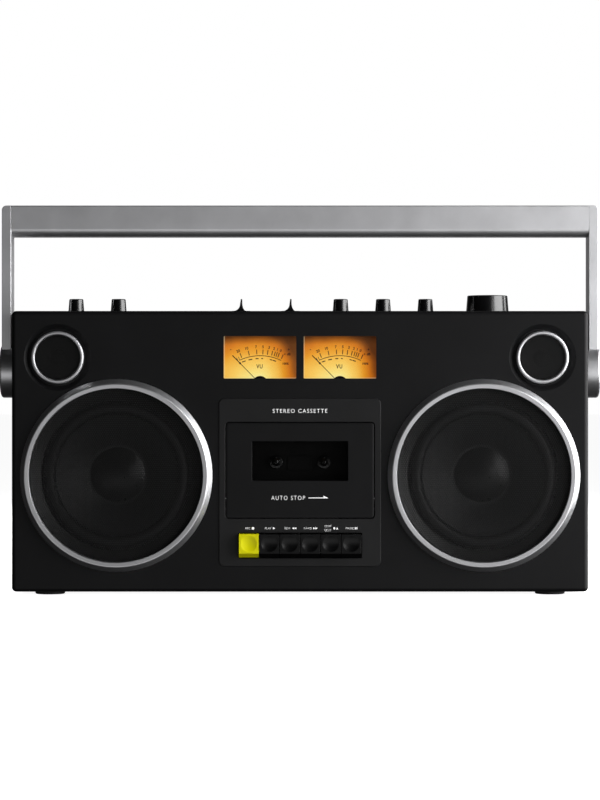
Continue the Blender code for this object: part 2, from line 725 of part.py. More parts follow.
# ---- Speakers ----
def woofer(side_name, side):
    place = on_face(side * WOOFER_X, WOOFER_Z)
    inner, outer = WOOFER_OPENING, WOOFER_RING_RADIUS
    collar_end = -BAFFLE_THICKNESS + SPIGOT_SHORT
    ring = [
        (inner, collar_end),
        (inner, WOOFER_RING_PROUD - 0.8 * mm),
        (inner + 0.6 * mm, WOOFER_RING_PROUD),
        (outer - 2.6 * mm, WOOFER_RING_PROUD),
        (outer - 0.6 * mm, WOOFER_RING_PROUD - 2.2 * mm),
        (outer, WOOFER_RING_PROUD - 4 * mm),
        (outer, GAP),
        (inner + WOOFER_SPIGOT, GAP),
        (inner + WOOFER_SPIGOT, collar_end),
    ]
    turned(f"{side_name}_woofer_ring", ring, silver(), place, "front", LARGE)
    grille = bore_profile(inner - GAP, 0, GRILLE_THICKNESS)
    turned(f"{side_name}_woofer_grille", grille, mesh_black(), place, "front", LARGE)
    woofer_frame(side_name, place)
    woofer_cone(side_name, place)


def woofer_frame(side_name, place):
    """Basket and magnet. Its front cone leads from the ring down to the surround."""
    front = -BAFFLE_THICKNESS - GAP
    lip = SURROUND_RADIUS + 0.8 * mm
    seat = front - 10.6 * mm
    bottom = seat - BASKET_DEPTH
    wall = BASKET_WALL
    inner_end = MAGNET_RADIUS - 8 * mm
    profile = [
        (WOOFER_FLANGE, front),
        (WOOFER_OPENING - GAP, front),
        (lip, front - 5.2 * mm),
        (lip, seat),
        (lip - 3.7 * mm, seat),
        (inner_end, bottom),
        (0, bottom),
        (0, bottom - MAGNET_LENGTH - wall),
        (MAGNET_RADIUS, bottom - MAGNET_LENGTH - wall),
        (MAGNET_RADIUS, bottom - wall),
        (inner_end + wall, bottom - wall / 2),
        (lip + 2 * mm, seat - wall),
        (lip + 3 * mm, front - 10 * mm),
        (WOOFER_FLANGE, front - 5 * mm),
    ]
    frame = turned(f"{side_name}_woofer_frame", profile, steel(), place, "front")
    windows = []
    for i in range(BASKET_WINDOWS):
        window = extruded(
            "basket_window",
            rectangle(SURROUND_RADIUS, 0.4 * SURROUND_RADIUS, centre=(SURROUND_RADIUS, 0)),
            bottom + 0.2 * BASKET_DEPTH,
            seat - 0.25 * BASKET_DEPTH,
        )
        window.data.transform(Matrix.Rotation(2 * math.pi * (i + 0.5) / BASKET_WINDOWS, 4, "Z"))
        window.location = place
        window.rotation_euler = FACINGS["front"]
        windows.append(window)
    return cut(frame, *windows)


def woofer_cone(side_name, place):
    """Rubber surround, paper cone and dust cap, which move in and out together."""
    rim = -BAFFLE_THICKNESS - 6.2 * mm
    roll = (SURROUND_RADIUS - CONE_RADIUS - 1.2 * mm) / 2
    roll_centre = CONE_RADIUS + 0.4 * mm + roll
    neck = rim - CONE_DEPTH * (CONE_RADIUS - DUST_CAP_RADIUS)
    skin = CONE_SKIN
    cap_centre = neck - math.sqrt(CAP_BEND**2 - DUST_CAP_RADIUS**2)
    cap = arc((0, cap_centre), CAP_BEND, 60, 90, 3)
    front = [(SURROUND_RADIUS, rim)]
    front += arc((roll_centre, rim), roll, 0, 180, 5)
    front += [(CONE_RADIUS, rim - 0.4 * mm), (DUST_CAP_RADIUS + 1.5 * mm, neck)]
    front += [(min(x, DUST_CAP_RADIUS), y) for x, y in cap[:-1]] + [(0, cap[-1][1])]
    back = [(0, cap[-1][1] - skin), (DUST_CAP_RADIUS, neck - 2 * skin)]
    back += [(CONE_RADIUS + 0.6 * mm, rim - 0.4 * mm - skin)]
    back += arc((roll_centre, rim - skin), roll - skin, 180, 0, 3)
    back += [(SURROUND_RADIUS, rim - skin)]
    return turned(f"{side_name}_woofer_cone", front + back, cone_paper(), place, "front")


def tweeter(side_name, side):
    place = on_face(side * TWEETER_X, TWEETER_Z)
    outer = TWEETER_RING_RADIUS
    inner = outer - TWEETER_RING_WIDTH
    back = -BAFFLE_THICKNESS - GAP
    ring = [
        (inner, back),
        (inner, TWEETER_RING_PROUD / 2),
        (inner + TWEETER_RING_PROUD / 2, TWEETER_RING_PROUD),
        (outer - TWEETER_RING_PROUD, TWEETER_RING_PROUD),
        (outer, -0.2 * mm),
        (outer, back),
    ]
    turned(f"{side_name}_tweeter_ring", ring, silver(), place, "front")
    flange = back - GAP
    unit = [
        (0, TWEETER_FACE),
        (inner - GAP, TWEETER_FACE),
        (inner - GAP, flange),
        (TWEETER_FLANGE_RADIUS, flange),
        (TWEETER_FLANGE_RADIUS, flange - TWEETER_FLANGE),
        (TWEETER_MOTOR_RADIUS, flange - TWEETER_FLANGE),
        (TWEETER_MOTOR_RADIUS, -TWEETER_DEPTH),
        (0, -TWEETER_DEPTH),
    ]
    turned(f"{side_name}_tweeter", unit, mesh_black(), place, "front")


# ---- Level meters ----
def meters():
    window = rectangle(METER_SPACING + METER_WIDTH + 2 * METER_RIM, METER_HEIGHT + 2 * METER_RIM)
    front = -BAFFLE_THICKNESS - GAP
    glass = clear("clear_window", 0.2)
    extruded("meter_window", window, WINDOW_BACK, front, glass, on_face(0, METER_Z), "front")
    for side_name, side in (("left", -1), ("right", 1)):
        meter_movement(side_name, side)
        meter_needle(side_name, side)


def meter_movement(side_name, side):
    """Meter case with its dial on the front. It reaches down behind the needle's hub."""
    half = METER_WIDTH / 2 + METER_RIM
    top = METER_HEIGHT / 2 + METER_RIM
    bottom = NEEDLE_Z - METER_Z - NEEDLE_HUB_RADIUS - METER_RIM
    case = [(-half, bottom), (half, bottom), (half, top), (-half, top)]
    place = on_face(side * METER_X, METER_Z)
    back = DIAL_FRONT - METER_DEPTH
    body = extruded(f"{side_name}_meter", case, back, DIAL_FRONT, dial_amber(), place, "front")
    coil = bore_profile(METER_COIL_RADIUS, back - METER_COIL_LENGTH, back + OVERLAP)
    return join(body, turned("meter_coil", coil, None, place, "front", SMALL))


def meter_needle(side_name, side):
    """Hub and pointer, built upright and turned to the rest angle about the pivot."""
    place = on_face(side * METER_X, NEEDLE_Z)
    hub_profile = [
        (0, NEEDLE_BACK),
        (NEEDLE_HUB_RADIUS, NEEDLE_BACK),
        (NEEDLE_HUB_RADIUS, NEEDLE_FRONT - 0.6 * mm),
        (NEEDLE_HUB_RADIUS - 0.6 * mm, NEEDLE_FRONT),
        (0, NEEDLE_FRONT),
    ]
    hub = turned(f"{side_name}_meter_needle", hub_profile, gloss_black(), place, "front")
    half = NEEDLE_WIDTH / 2
    pointer_outline = [
        (-half, NEEDLE_HUB_RADIUS / 2),
        (half, NEEDLE_HUB_RADIUS / 2),
        (half / 2, NEEDLE_LENGTH),
        (-half / 2, NEEDLE_LENGTH),
    ]
    pointer = extruded("pointer", pointer_outline, NEEDLE_BACK + 0.4 * mm, NEEDLE_BACK + 1.2 * mm)
    pointer.data.transform(Matrix.Rotation(math.radians(NEEDLE_REST_DEG), 4, "Z"))
    pointer.location = place
    pointer.rotation_euler = FACINGS["front"]
    return join(hub, pointer)


# ---- Deck ----
def deck_panel():
    """Raised panel round the door and the keys, with a flange that traps it behind the baffle."""
    place = on_face(0, DECK_Z)
    panel = extruded(
        "deck_panel",
        rectangle(DECK_WIDTH, DECK_HEIGHT, DECK_RADIUS),
        -BAFFLE_THICKNESS - GAP - OVERLAP,
        DECK_PROUD,
        deck_plastic(),
        place,
        "front",
    )
    flange = extruded(
        "deck_flange",
        rectangle(DECK_WIDTH + 2 * DECK_FLANGE, DECK_HEIGHT + 2 * DECK_FLANGE, DECK_RADIUS),
        -BAFFLE_THICKNESS - GAP - DECK_FLANGE_THICKNESS,
        -BAFFLE_THICKNESS - GAP,
        None,
        place,
        "front",
    )
    door = rectangle(DOOR_WIDTH + 2 * SLIDE_GAP, DOOR_HEIGHT + 2 * SLIDE_GAP, DOOR_RADIUS + SLIDE_GAP)
    keys = rectangle(KEYS_WIDTH + 2 * SLIDE_GAP, KEY_HEIGHT + 2 * SLIDE_GAP)
    through = (-BAFFLE_DEPTH, DECK_PROUD + OVERLAP)
    keys_z = (KEYS_TOP + KEYS_BOTTOM) / 2
    door_hole = extruded("door_hole", door, *through, None, on_face(0, DOOR_Z), "front")
    key_hole = extruded("key_hole", keys, *through, None, on_face(0, keys_z), "front")
    return cut(join(panel, flange), door_hole, key_hole)


def cassette_door():
    """The door with a shallow chamfer round its face, its window, and the holder behind it."""
    hinge = (0, HINGE_Y, HINGE_Z)
    chamfer = 2 * DOOR_CHAMFER_WIDTH
    bm = bmesh.new()
    outline = rectangle(DOOR_WIDTH, DOOR_HEIGHT, DOOR_RADIUS, 2)
    shrunk = rectangle(DOOR_WIDTH - chamfer, DOOR_HEIGHT - chamfer, DOOR_RADIUS / 2, 2)
    rings = [
        [bm.verts.new((x, y, z)) for x, y in points]
        for points, z in (
            (outline, DOOR_BACK),
            (outline, DOOR_PROUD - DOOR_CHAMFER_DEPTH),
            (shrunk, DOOR_PROUD),
        )
    ]
    for ring in (rings[0], rings[-1]):
        bm.faces.new(ring)
    for lower, upper in zip(rings, rings[1:]):
        pairs = loop_pairs(lower) + loop_pairs(upper)
        edges = [bm.edges.get(pair) or bm.edges.new(pair) for pair in pairs]
        bmesh.ops.bridge_loops(bm, edges=edges)
    door = finish("cassette_door", bm, black_plastic(), on_face(0, DOOR_Z), "front")
    hole = extruded(
        "window_hole",
        rectangle(DOOR_WINDOW_WIDTH, DOOR_WINDOW_HEIGHT, OPENING_RADIUS),
        DOOR_BACK - OVERLAP,
        DOOR_PROUD + OVERLAP,
        None,
        on_face(0, WINDOW_Z),
        "front",
    )
    set_origin(door, hinge)
    cut(door, hole)
    pane = extruded(
        "door_window",
        rectangle(DOOR_WINDOW_WIDTH - 2 * GAP, DOOR_WINDOW_HEIGHT - 2 * GAP, OPENING_RADIUS - GAP),
        DOOR_BACK + PANE_BACK_SET,
        DOOR_PROUD - PANE_FRONT_SET,
        clear("smoked_window", 0.45),
        on_face(0, WINDOW_Z),
        "front",
    )
    set_origin(pane, hinge)
    return set_origin(cassette_holder(), hinge)


def loop_pairs(points):
    """Neighbours round a closed loop."""
    return list(zip(points, points[1:] + points[:1]))


def cassette_holder():
    """Frame behind the door with a rail each side, a ledge at each end and a lip behind the tape."""
    half_bay = CASSETTE_WIDTH / 2 + 2 * GAP
    half = half_bay + HOLDER_RAIL
    ledge_z = CASSETTE_BOTTOM - 2 * GAP
    bottom, top = ledge_z - HOLDER_RAIL, CASSETTE_TOP
    y_front, y_back = FACE_Y - HOLDER_FRONT, FACE_Y - HOLDER_BACK
    body = block("cassette_holder", (-half, y_front, bottom), (half, y_back, top), deck_plastic())
    bay = block(
        "bay",
        (-half_bay, FACE_Y - BAY_FRONT, ledge_z),
        (half_bay, FACE_Y - BAY_BACK, top + OVERLAP),
    )
    lip = HOLDER_LIP
    between_lips = block(
        "between_lips",
        (-half_bay + lip, FACE_Y - BAY_BACK - OVERLAP, ledge_z + lip),
        (half_bay - lip, y_back + OVERLAP, top + OVERLAP),
    )
    head_way = block(
        "head_way",
        (-half_bay + HOLDER_LEDGE, FACE_Y - BAY_FRONT, bottom - OVERLAP),
        (half_bay - HOLDER_LEDGE, y_back + OVERLAP, ledge_z + lip + OVERLAP),
    )
    view = extruded(
        "holder_view",
        rectangle(DOOR_WINDOW_WIDTH + 2 * HOLDER_RAIL, DOOR_WINDOW_HEIGHT + 2 * HOLDER_RAIL),
        HOLDER_BACK - OVERLAP,
        HOLDER_FRONT + OVERLAP,
        None,
        on_face(0, WINDOW_Z),
        "front",
    )
    return cut(body, bay, between_lips, head_way, view)


def deck_chassis():
    """Steel plate that carries the transport, with posts for the motor and a pad behind the tape."""
    bottom, top = KEYS_TOP + 3 * mm, DOOR_TOP + 4 * mm
    half = DOOR_WIDTH / 2
    y_front, y_back = FACE_Y - CHASSIS_FRONT, FACE_Y - CHASSIS_BACK
    plate = block("deck_chassis", (-half, y_front, bottom), (half, y_back, top), steel())
    pad = block(
        "tape_pad",
        (-PAD_WIDTH / 2, y_front - PAD_PROUD, HUB_Z - PAD_BELOW),
        (PAD_WIDTH / 2, y_front + OVERLAP, HUB_Z + PAD_ABOVE),
    )
    posts = []
    post = bore_profile(MOTOR_POST_RADIUS, MOTOR_FRONT + GAP, CHASSIS_BACK + OVERLAP)
    for side in (-1, 1):
        place = on_face(MOTOR_X, MOTOR_Z + side * (MOTOR_RADIUS - 4 * mm))
        posts.append(turned("motor_post", post, None, place, "front", SMALL))
    bores = []
    for x, z, radius in (
        (-HUB_SPACING / 2, HUB_Z, SPINDLE_STUB),
        (HUB_SPACING / 2, HUB_Z, SPINDLE_STUB),
        (CAPSTAN_X, CAPSTAN_Z, CAPSTAN_RADIUS),
    ):
        bore = bore_profile(radius + GAP, CHASSIS_BACK - OVERLAP, CHASSIS_FRONT + OVERLAP)
        bores.append(turned("shaft_bore", bore, None, on_face(x, z), "front", SMALL))
    return cut(join(plate, pad, *posts), *bores)


def spindle(name, x):
    """Reel spindle: a flange, a shaft with three drive fins, and a stub through the chassis."""
    place = on_face(x, HUB_Z)
    base = CHASSIS_FRONT + GAP
    profile = [
        (0, CHASSIS_BACK - STUB_LENGTH),
        (SPINDLE_STUB, CHASSIS_BACK - STUB_LENGTH),
        (SPINDLE_STUB, base),
        (SPINDLE_FLANGE, base),
        (SPINDLE_FLANGE, base + 1.4 * mm),
        (SPINDLE_RADIUS, base + 1.8 * mm),
        (SPINDLE_RADIUS, SPINDLE_TIP - 1.5 * mm),
        (SPINDLE_NOSE, SPINDLE_TIP),
        (0, SPINDLE_TIP),
    ]
    shaft = turned(name, profile, gloss_black(), place, "front", SMALL)
    fins = []
    for i in range(DRIVE_FINS):
        fin = extruded(
            "drive_fin",
            rectangle(3 * mm, 1.2 * mm, centre=(SPINDLE_RADIUS + 0.3 * mm, 0)),
            base + OVERLAP,
            SPINDLE_TIP - 2 * mm,
        )
        fin.data.transform(Matrix.Rotation(math.pi / 2 + 2 * math.pi * i / DRIVE_FINS, 4, "Z"))
        fin.location = place
        fin.rotation_euler = FACINGS["front"]
        fins.append(fin)
    return join(shaft, *fins)


def flywheel():
    """Capstan and flywheel in one: the thin shaft comes through the chassis into the tape's path."""
    profile = [
        (0, FLYWHEEL_BACK - BOSS_LENGTH),
        (BEARING_RADIUS, FLYWHEEL_BACK - BOSS_LENGTH),
        (BEARING_RADIUS, FLYWHEEL_BACK),
        (FLYWHEEL_RADIUS, FLYWHEEL_BACK),
        (FLYWHEEL_RADIUS, FLYWHEEL_FRONT),
        (FLYWHEEL_BOSS, FLYWHEEL_FRONT),
        (FLYWHEEL_BOSS, FLYWHEEL_FRONT + BOSS_LENGTH),
        (CAPSTAN_RADIUS, FLYWHEEL_FRONT + BOSS_LENGTH),
        (CAPSTAN_RADIUS, SPINDLE_TIP),
        (0, SPINDLE_TIP),
    ]
    turned("capstan_flywheel", profile, steel(), on_face(CAPSTAN_X, CAPSTAN_Z), "front")


def motor():
    place = on_face(MOTOR_X, MOTOR_Z)
    can = [
        (0, MOTOR_BACK),
        (MOTOR_RADIUS - 1 * mm, MOTOR_BACK),
        (MOTOR_RADIUS, MOTOR_BACK + 1 * mm),
        (MOTOR_RADIUS, MOTOR_FRONT),
        (0, MOTOR_FRONT),
    ]
    turned("drive_motor", can, steel(), place, "front", MEDIUM)
    half = BELT_WIDTH / 2 + GAP
    rim = 1 * mm
    pulley = [
        (0, MOTOR_FRONT + GAP),
        (MOTOR_SHAFT_RADIUS, MOTOR_FRONT + GAP),
        (MOTOR_SHAFT_RADIUS, BELT_MIDDLE - half - rim),
        (PULLEY_RADIUS + rim, BELT_MIDDLE - half - rim),
        (PULLEY_RADIUS + rim, BELT_MIDDLE - half),
        (PULLEY_RADIUS, BELT_MIDDLE - half),
        (PULLEY_RADIUS, BELT_MIDDLE + half),
        (0, BELT_MIDDLE + half),
    ]
    turned("motor_pulley", pulley, steel(), place, "front", SMALL)


def belt_outline(offset):
    """The loop round the pulley and the flywheel at a distance from both, as seen from the front."""
    dx, dz = CAPSTAN_X - MOTOR_X, CAPSTAN_Z - MOTOR_Z
    tilt = math.degrees(math.atan2(dz, dx))
    spread = math.degrees(math.acos((FLYWHEEL_RADIUS - PULLEY_RADIUS) / math.hypot(dx, dz)))
    back, far = tilt + 180 - spread, tilt + 180 + spread
    large = arc((CAPSTAN_X, CAPSTAN_Z), FLYWHEEL_RADIUS + offset, far - 360, back, MEDIUM)
    small = arc((MOTOR_X, MOTOR_Z), PULLEY_RADIUS + offset, back, far, SMALL // 2)
    return large + small


def drive_belt():
    low, high = BELT_MIDDLE - BELT_WIDTH / 2, BELT_MIDDLE + BELT_WIDTH / 2
    place = on_face(0, 0)
    outer = belt_outline(GAP + BELT_THICKNESS)
    inner = belt_outline(GAP)
    belt = extruded("drive_belt", outer, low, high, rubber(), place, "front")
    hollow = extruded("belt_hollow", inner, low - OVERLAP, high + OVERLAP, None, place, "front")
    return cut(belt, hollow)


def head_assembly():
    """Plate that rises with the play key, its tape head, and the pinch roller on its pin."""
    back = CHASSIS_FRONT + GAP
    front = back + HEAD_PLATE_THICKNESS
    bottom = KEYS_TOP + 5 * mm
    top = HEAD_TOP - 10 * mm
    left = -30 * mm
    plate = extruded(
        "head_plate",
        [
            (left, bottom),
            (CAPSTAN_X + 6 * mm, bottom),
            (CAPSTAN_X + 6 * mm, PINCH_Z + 3 * mm),
            (CAPSTAN_X - 6 * mm, PINCH_Z + 3 * mm),
            (CAPSTAN_X - 8 * mm, top),
            (left, top),
        ],
        back,
        front,
        steel(),
        on_face(0, 0),
        "front",
    )
    pin = bore_profile(ROLLER_PIN_RADIUS, back, SPINDLE_TIP)
    join(plate, turned("roller_pin", pin, None, on_face(CAPSTAN_X, PINCH_Z), "front", SMALL))
    block(
        "tape_head",
        (-HEAD_WIDTH / 2, FACE_Y - SPINDLE_TIP, top - 4 * mm),
        (HEAD_WIDTH / 2, FACE_Y - front - GAP, HEAD_TOP),
        steel(),
        2 * mm,
        2,
        lambda edge: along(edge, 1) and edge.verts[0].co.z > HEAD_TOP - GAP,
    )
    bore = ROLLER_PIN_RADIUS + GAP
    roller = [
        (bore, front + GAP),
        (PINCH_RADIUS, front + GAP),
        (PINCH_RADIUS, SPINDLE_TIP - 1 * mm),
        (bore, SPINDLE_TIP - 1 * mm),
    ]
    turned("pinch_roller", roller, rubber(), on_face(CAPSTAN_X, PINCH_Z), "front", MEDIUM)


def key(name, index, surface):
    """Square piano key with a round dish in its face and a slope under it."""
    x = (index - (KEY_COUNT - 1) / 2) * KEY_PITCH
    bm = bmesh.new()
    side_view = [
        (-KEY_LENGTH, KEYS_BOTTOM),
        (KEY_FACET_ROOT, KEYS_BOTTOM),
        (KEY_PROUD, KEYS_BOTTOM + KEY_FACET),
        (KEY_PROUD, KEYS_TOP),
        (-KEY_LENGTH, KEYS_TOP),
    ]
    left = x - KEY_WIDTH / 2
    face = bm.faces.new([bm.verts.new((left, FACE_Y - out, z)) for out, z in side_view])
    raised = bmesh.ops.extrude_face_region(bm, geom=[face])["geom"]
    far = [item for item in raised if isinstance(item, bmesh.types.BMVert)]
    bmesh.ops.translate(bm, vec=(KEY_WIDTH, 0, 0), verts=far)
    made = finish(name, bm, surface)
    sphere = (DISH_RADIUS**2 + DISH_DEPTH**2) / (2 * DISH_DEPTH)
    reach = math.degrees(math.asin(DISH_RADIUS / sphere))
    bowl = arc((0, KEY_PROUD + sphere - DISH_DEPTH), sphere, -90, -90 + 1.15 * reach, 3)
    bowl[0] = (0, bowl[0][1])
    dish = turned(
        "key_dish",
        [*bowl, (bowl[-1][0], KEY_PROUD + 2 * OVERLAP), (0, KEY_PROUD + 2 * OVERLAP)],
        None,
        on_face(x, KEYS_TOP - (KEY_HEIGHT - KEY_FACET) / 2),
        "front",
        SMALL,
    )
    set_origin(made, (x, FACE_Y - KEY_PROUD, (KEYS_TOP + KEYS_BOTTOM) / 2))
    return cut(made, dish)


def keys():
    names = ("record_key", "play_key", "rewind_key", "fast_forward_key", "stop_eject_key", "pause_key")
    for index, name in enumerate(names):
        key(name, index, yellow() if name == "record_key" else gloss_black())


# ---- Top controls ----
def knob(name, x, radius, height, segments):
    """Tapered knob with its stem, which reaches down to the control board."""
    taper = KNOB_TAPER * height
    stem_end = -WALL - STEM_REACH + GAP
    profile = [
        (0, stem_end),
        (STEM_RADIUS, stem_end),
        (STEM_RADIUS, 2 * GAP),
        (radius, 2 * GAP),
        (radius - taper, height - KNOB_BEVEL),
        (radius - taper - KNOB_BEVEL, height),
        (0, height),
    ]
    turned(name, profile, gloss_black(), (x, MID_Y, TOP), "up", segments)


def switch_cap(name, x):
    """Slide cap: a thin finger blade that sweeps down into its base on both sides."""
    half, base_height, blade = SWITCH_CAP_WIDTH / 2, SWITCH_BASE, SWITCH_BLADE
    rise = SWITCH_CAP_HEIGHT - base_height
    left = half - blade - 1.2 * mm
    right = 0.6 * left
    foot = 2 * GAP
    outline = [(half, foot), (half, base_height)]
    outline += [
        (blade + right * (1 - math.sin(a)), base_height + 0.75 * rise * (1 - math.cos(a)))
        for a in (math.radians(22.5 * i) for i in range(5))
    ]
    outline += [(blade, SWITCH_CAP_HEIGHT), (-blade, SWITCH_CAP_HEIGHT)]
    outline += [
        (-blade - left * (1 - math.sin(a)), base_height + 0.6 * rise * (1 - math.cos(a)))
        for a in (math.radians(22.5 * i) for i in range(4, -1, -1))
    ]
    outline += [(-half, base_height), (-half, foot)]
    deep = SWITCH_CAP_LENGTH / 2
    cap = extruded(name, outline, -deep, deep, gloss_black(), (x, MID_Y, TOP), "front")
    stem = block(
        "switch_stem",
        (x - STEM_RADIUS / 2, MID_Y - STEM_RADIUS / 2, TOP - WALL - STEM_REACH + GAP),
        (x + STEM_RADIUS / 2, MID_Y + STEM_RADIUS / 2, TOP + foot + OVERLAP),
    )
    return join(cap, stem)


def top_controls():
    for name, x in zip(SMALL_KNOB_NAMES, SMALL_KNOB_XS):
        knob(name, x, SMALL_KNOB_RADIUS, SMALL_KNOB_HEIGHT, SMALL + 4)
    knob("volume_knob", VOLUME_X, LARGE_KNOB_RADIUS, LARGE_KNOB_HEIGHT, MEDIUM + 4)
    for name, x in zip(SWITCH_NAMES, SWITCH_XS):
        switch_cap(name, x)


# ---- Handle ----
def handle_grip():
    """Hollow bar between the arms, round underneath for the hand."""
    half = ARM_INNER - GAP
    low = (-half, MID_Y - GRIP_DEPTH / 2, GRIP_BOTTOM)
    high = (half, MID_Y + GRIP_DEPTH / 2, HANDLE_TOP)
    under = min(GRIP_ROUND, GRIP_HEIGHT / 2 - OVERLAP)

    def lower(edge):
        return along(edge, 0) and edge.verts[0].co.z < GRIP_BOTTOM + GAP

    grip = block("handle_grip", low, high, silver(), under, 4, lower)
    bore = rectangle(GRIP_DEPTH - 2 * GRIP_WALL, GRIP_HEIGHT - 2 * GRIP_WALL, under - GRIP_WALL, 2)
    hollow = extruded(
        "grip_bore",
        [(y, x) for x, y in bore][::-1],
        -half - OVERLAP,
        half + OVERLAP,
        None,
        (0, MID_Y, (HANDLE_TOP + GRIP_BOTTOM) / 2),
        "right",
    )
    cut(grip, hollow)
    return set_origin(grip, (0, MID_Y, PIVOT_Z))


def handle_side(side_name, side):
    """Arm, and the hub that its lower end is let into. The hub's spigot turns in the cabinet."""
    outer, inner = side * ARM_OUTER, side * ARM_INNER
    foot = PIVOT_Z + ARM_FOOT * HUB_RADIUS

    def top_outer(edge):
        corner = edge.verts[0].co
        return along(edge, 1) and corner.z > HANDLE_TOP - GAP and abs(corner.x - outer) < GAP

    arm = block(
        f"handle_{side_name}_arm",
        (min(outer, inner), MID_Y - GRIP_DEPTH / 2, foot),
        (max(outer, inner), MID_Y + GRIP_DEPTH / 2, HANDLE_TOP),
        silver(),
        ARM_ROUND,
        4,
        top_outer,
    )
    set_origin(arm, (0, MID_Y, PIVOT_Z))
    profile = [
        (0, SIDE - WALL - SPIGOT_REACH),
        (PIVOT_RADIUS, SIDE - WALL - SPIGOT_REACH),
        (PIVOT_RADIUS, HUB_INNER),
        (HUB_RADIUS, HUB_INNER),
        (HUB_RADIUS, HUB_OUTER - 2 * mm),
        (HUB_RADIUS - 0.7 * mm, HUB_OUTER - 0.6 * mm),
        (HUB_RADIUS - 2.2 * mm, HUB_OUTER),
        (HUB_RADIUS / 2, HUB_OUTER + 0.8 * mm),
        (0, HUB_OUTER + 1 * mm),
    ]
    facing = "right" if side > 0 else "left"
    place = (0, MID_Y, PIVOT_Z)
    hub = turned(f"{side_name}_pivot_hub", profile, silver(), place, facing, MEDIUM + 4)
    slot = block(
        "arm_slot",
        (min(outer, inner) - GAP, MID_Y - GRIP_DEPTH / 2 - GAP, foot - GAP),
        (max(outer, inner) + GAP, MID_Y + GRIP_DEPTH / 2 + GAP, PIVOT_Z + HUB_RADIUS + OVERLAP),
    )
    return cut(hub, slot)


def main():
    for obj in list(bpy.data.objects):
        bpy.data.objects.remove(obj)
    front_baffle()
    rear_cabinet()
    battery()
    main_board()
    control_board()
    feet()
    for side_name, side in (("left", -1), ("right", 1)):
        woofer(side_name, side)
        tweeter(side_name, side)
        handle_side(side_name, side)
    handle_grip()
    meters()
    deck_panel()
    cassette_door()
    deck_chassis()
    spindle("supply_spindle", -HUB_SPACING / 2)
    spindle("takeup_spindle", HUB_SPACING / 2)
    flywheel()
    motor()
    drive_belt()
    head_assembly()
    keys()
    top_controls()


main()
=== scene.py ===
"""Looks of the portable stereo cassette player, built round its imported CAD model.

Metres, +Z up, the front faces -Y. Each piece is modelled in its own local space, with local +Z
out of the surface that it sits on, and placed by one of the facings below. Sizes read in mm.
"""

import json
import math

import bmesh
import bpy
from mathutils import Matrix, Vector


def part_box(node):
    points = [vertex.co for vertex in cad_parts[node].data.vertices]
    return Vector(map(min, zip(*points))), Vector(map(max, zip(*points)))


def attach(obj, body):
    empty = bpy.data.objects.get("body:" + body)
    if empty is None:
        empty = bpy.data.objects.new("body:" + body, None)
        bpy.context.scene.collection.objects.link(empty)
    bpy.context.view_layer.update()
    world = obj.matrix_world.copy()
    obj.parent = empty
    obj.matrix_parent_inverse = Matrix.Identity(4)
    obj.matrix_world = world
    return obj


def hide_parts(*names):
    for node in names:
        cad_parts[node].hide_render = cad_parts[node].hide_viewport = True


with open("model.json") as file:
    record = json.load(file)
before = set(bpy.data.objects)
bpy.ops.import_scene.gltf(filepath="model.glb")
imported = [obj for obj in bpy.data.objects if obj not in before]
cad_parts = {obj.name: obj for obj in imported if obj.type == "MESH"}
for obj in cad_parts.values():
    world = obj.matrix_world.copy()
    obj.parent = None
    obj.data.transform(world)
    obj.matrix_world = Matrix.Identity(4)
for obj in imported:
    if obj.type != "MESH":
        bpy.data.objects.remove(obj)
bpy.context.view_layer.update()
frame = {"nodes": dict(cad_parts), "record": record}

mm = 0.001
BODY_OF = {node: body for body, nodes in frame["record"]["behaviour"]["bodies"].items() for node in nodes}
SLOT_OF = {row["node"]: row["material_slot"] for row in frame["record"]["subparts"]}

# ---- Facings: where local +Z points ----
UP = Matrix.Identity(4)
FRONT = Matrix.Rotation(math.pi / 2, 4, "X")
BACK = Matrix.Rotation(math.pi, 4, "Z") @ FRONT
RIGHT = Matrix.Rotation(math.pi / 2, 4, "Y")
LEFT = Matrix.Rotation(-math.pi / 2, 4, "Y")
# Local x forward out of the face and local y up, for a side view raised along X
PROFILE = Matrix(((0, 0, -1, 0), (-1, 0, 0, 0), (0, 1, 0, 0), (0, 0, 0, 1)))


def centre(node):
    low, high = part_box(node)
    return (low + high) / 2


# ---- Places, from the frame ----
BAFFLE_LOW, BAFFLE_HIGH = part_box("front_baffle")
TUB_LOW, TUB_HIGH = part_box("rear_cabinet")
SIDE, BASE, TOP = BAFFLE_HIGH.x, BAFFLE_LOW.z, BAFFLE_HIGH.z
FACE_Y, REAR_Y = BAFFLE_LOW.y, TUB_HIGH.y
MID_Y = centre("handle_grip").y
PIVOT_Z = centre("left_pivot_hub").z
METER_Z = centre("meter_window").z
DECK_Z = centre("deck_panel").z
DOOR_Z = centre("cassette_door").z
WINDOW_Z = centre("door_window").z

# ---- Sizes that the frame does not give ----
WALL = 3 * mm
BAFFLE_THICKNESS = 4 * mm
EDGE_RADIUS = 4 * mm
FINE_EDGE = 0.35 * mm
GAP = 0.3 * mm
PRINT = 0.06 * mm  # thickness of printed lettering
METER_WIDTH, METER_HEIGHT = 63.9 * mm, 37.3 * mm
DECK_FLANGE = 4 * mm
DECK_RADIUS = 5 * mm
FUNNEL_RADIUS, FUNNEL_END = 29.4 * mm, 25.4 * mm
SLIDE_GAP = 0.6 * mm
PIVOT_RADIUS = 5 * mm
STEM_RADIUS = 3 * mm
ROUND = 128  # segments round a large turned piece
SMALL_ROUND = 64

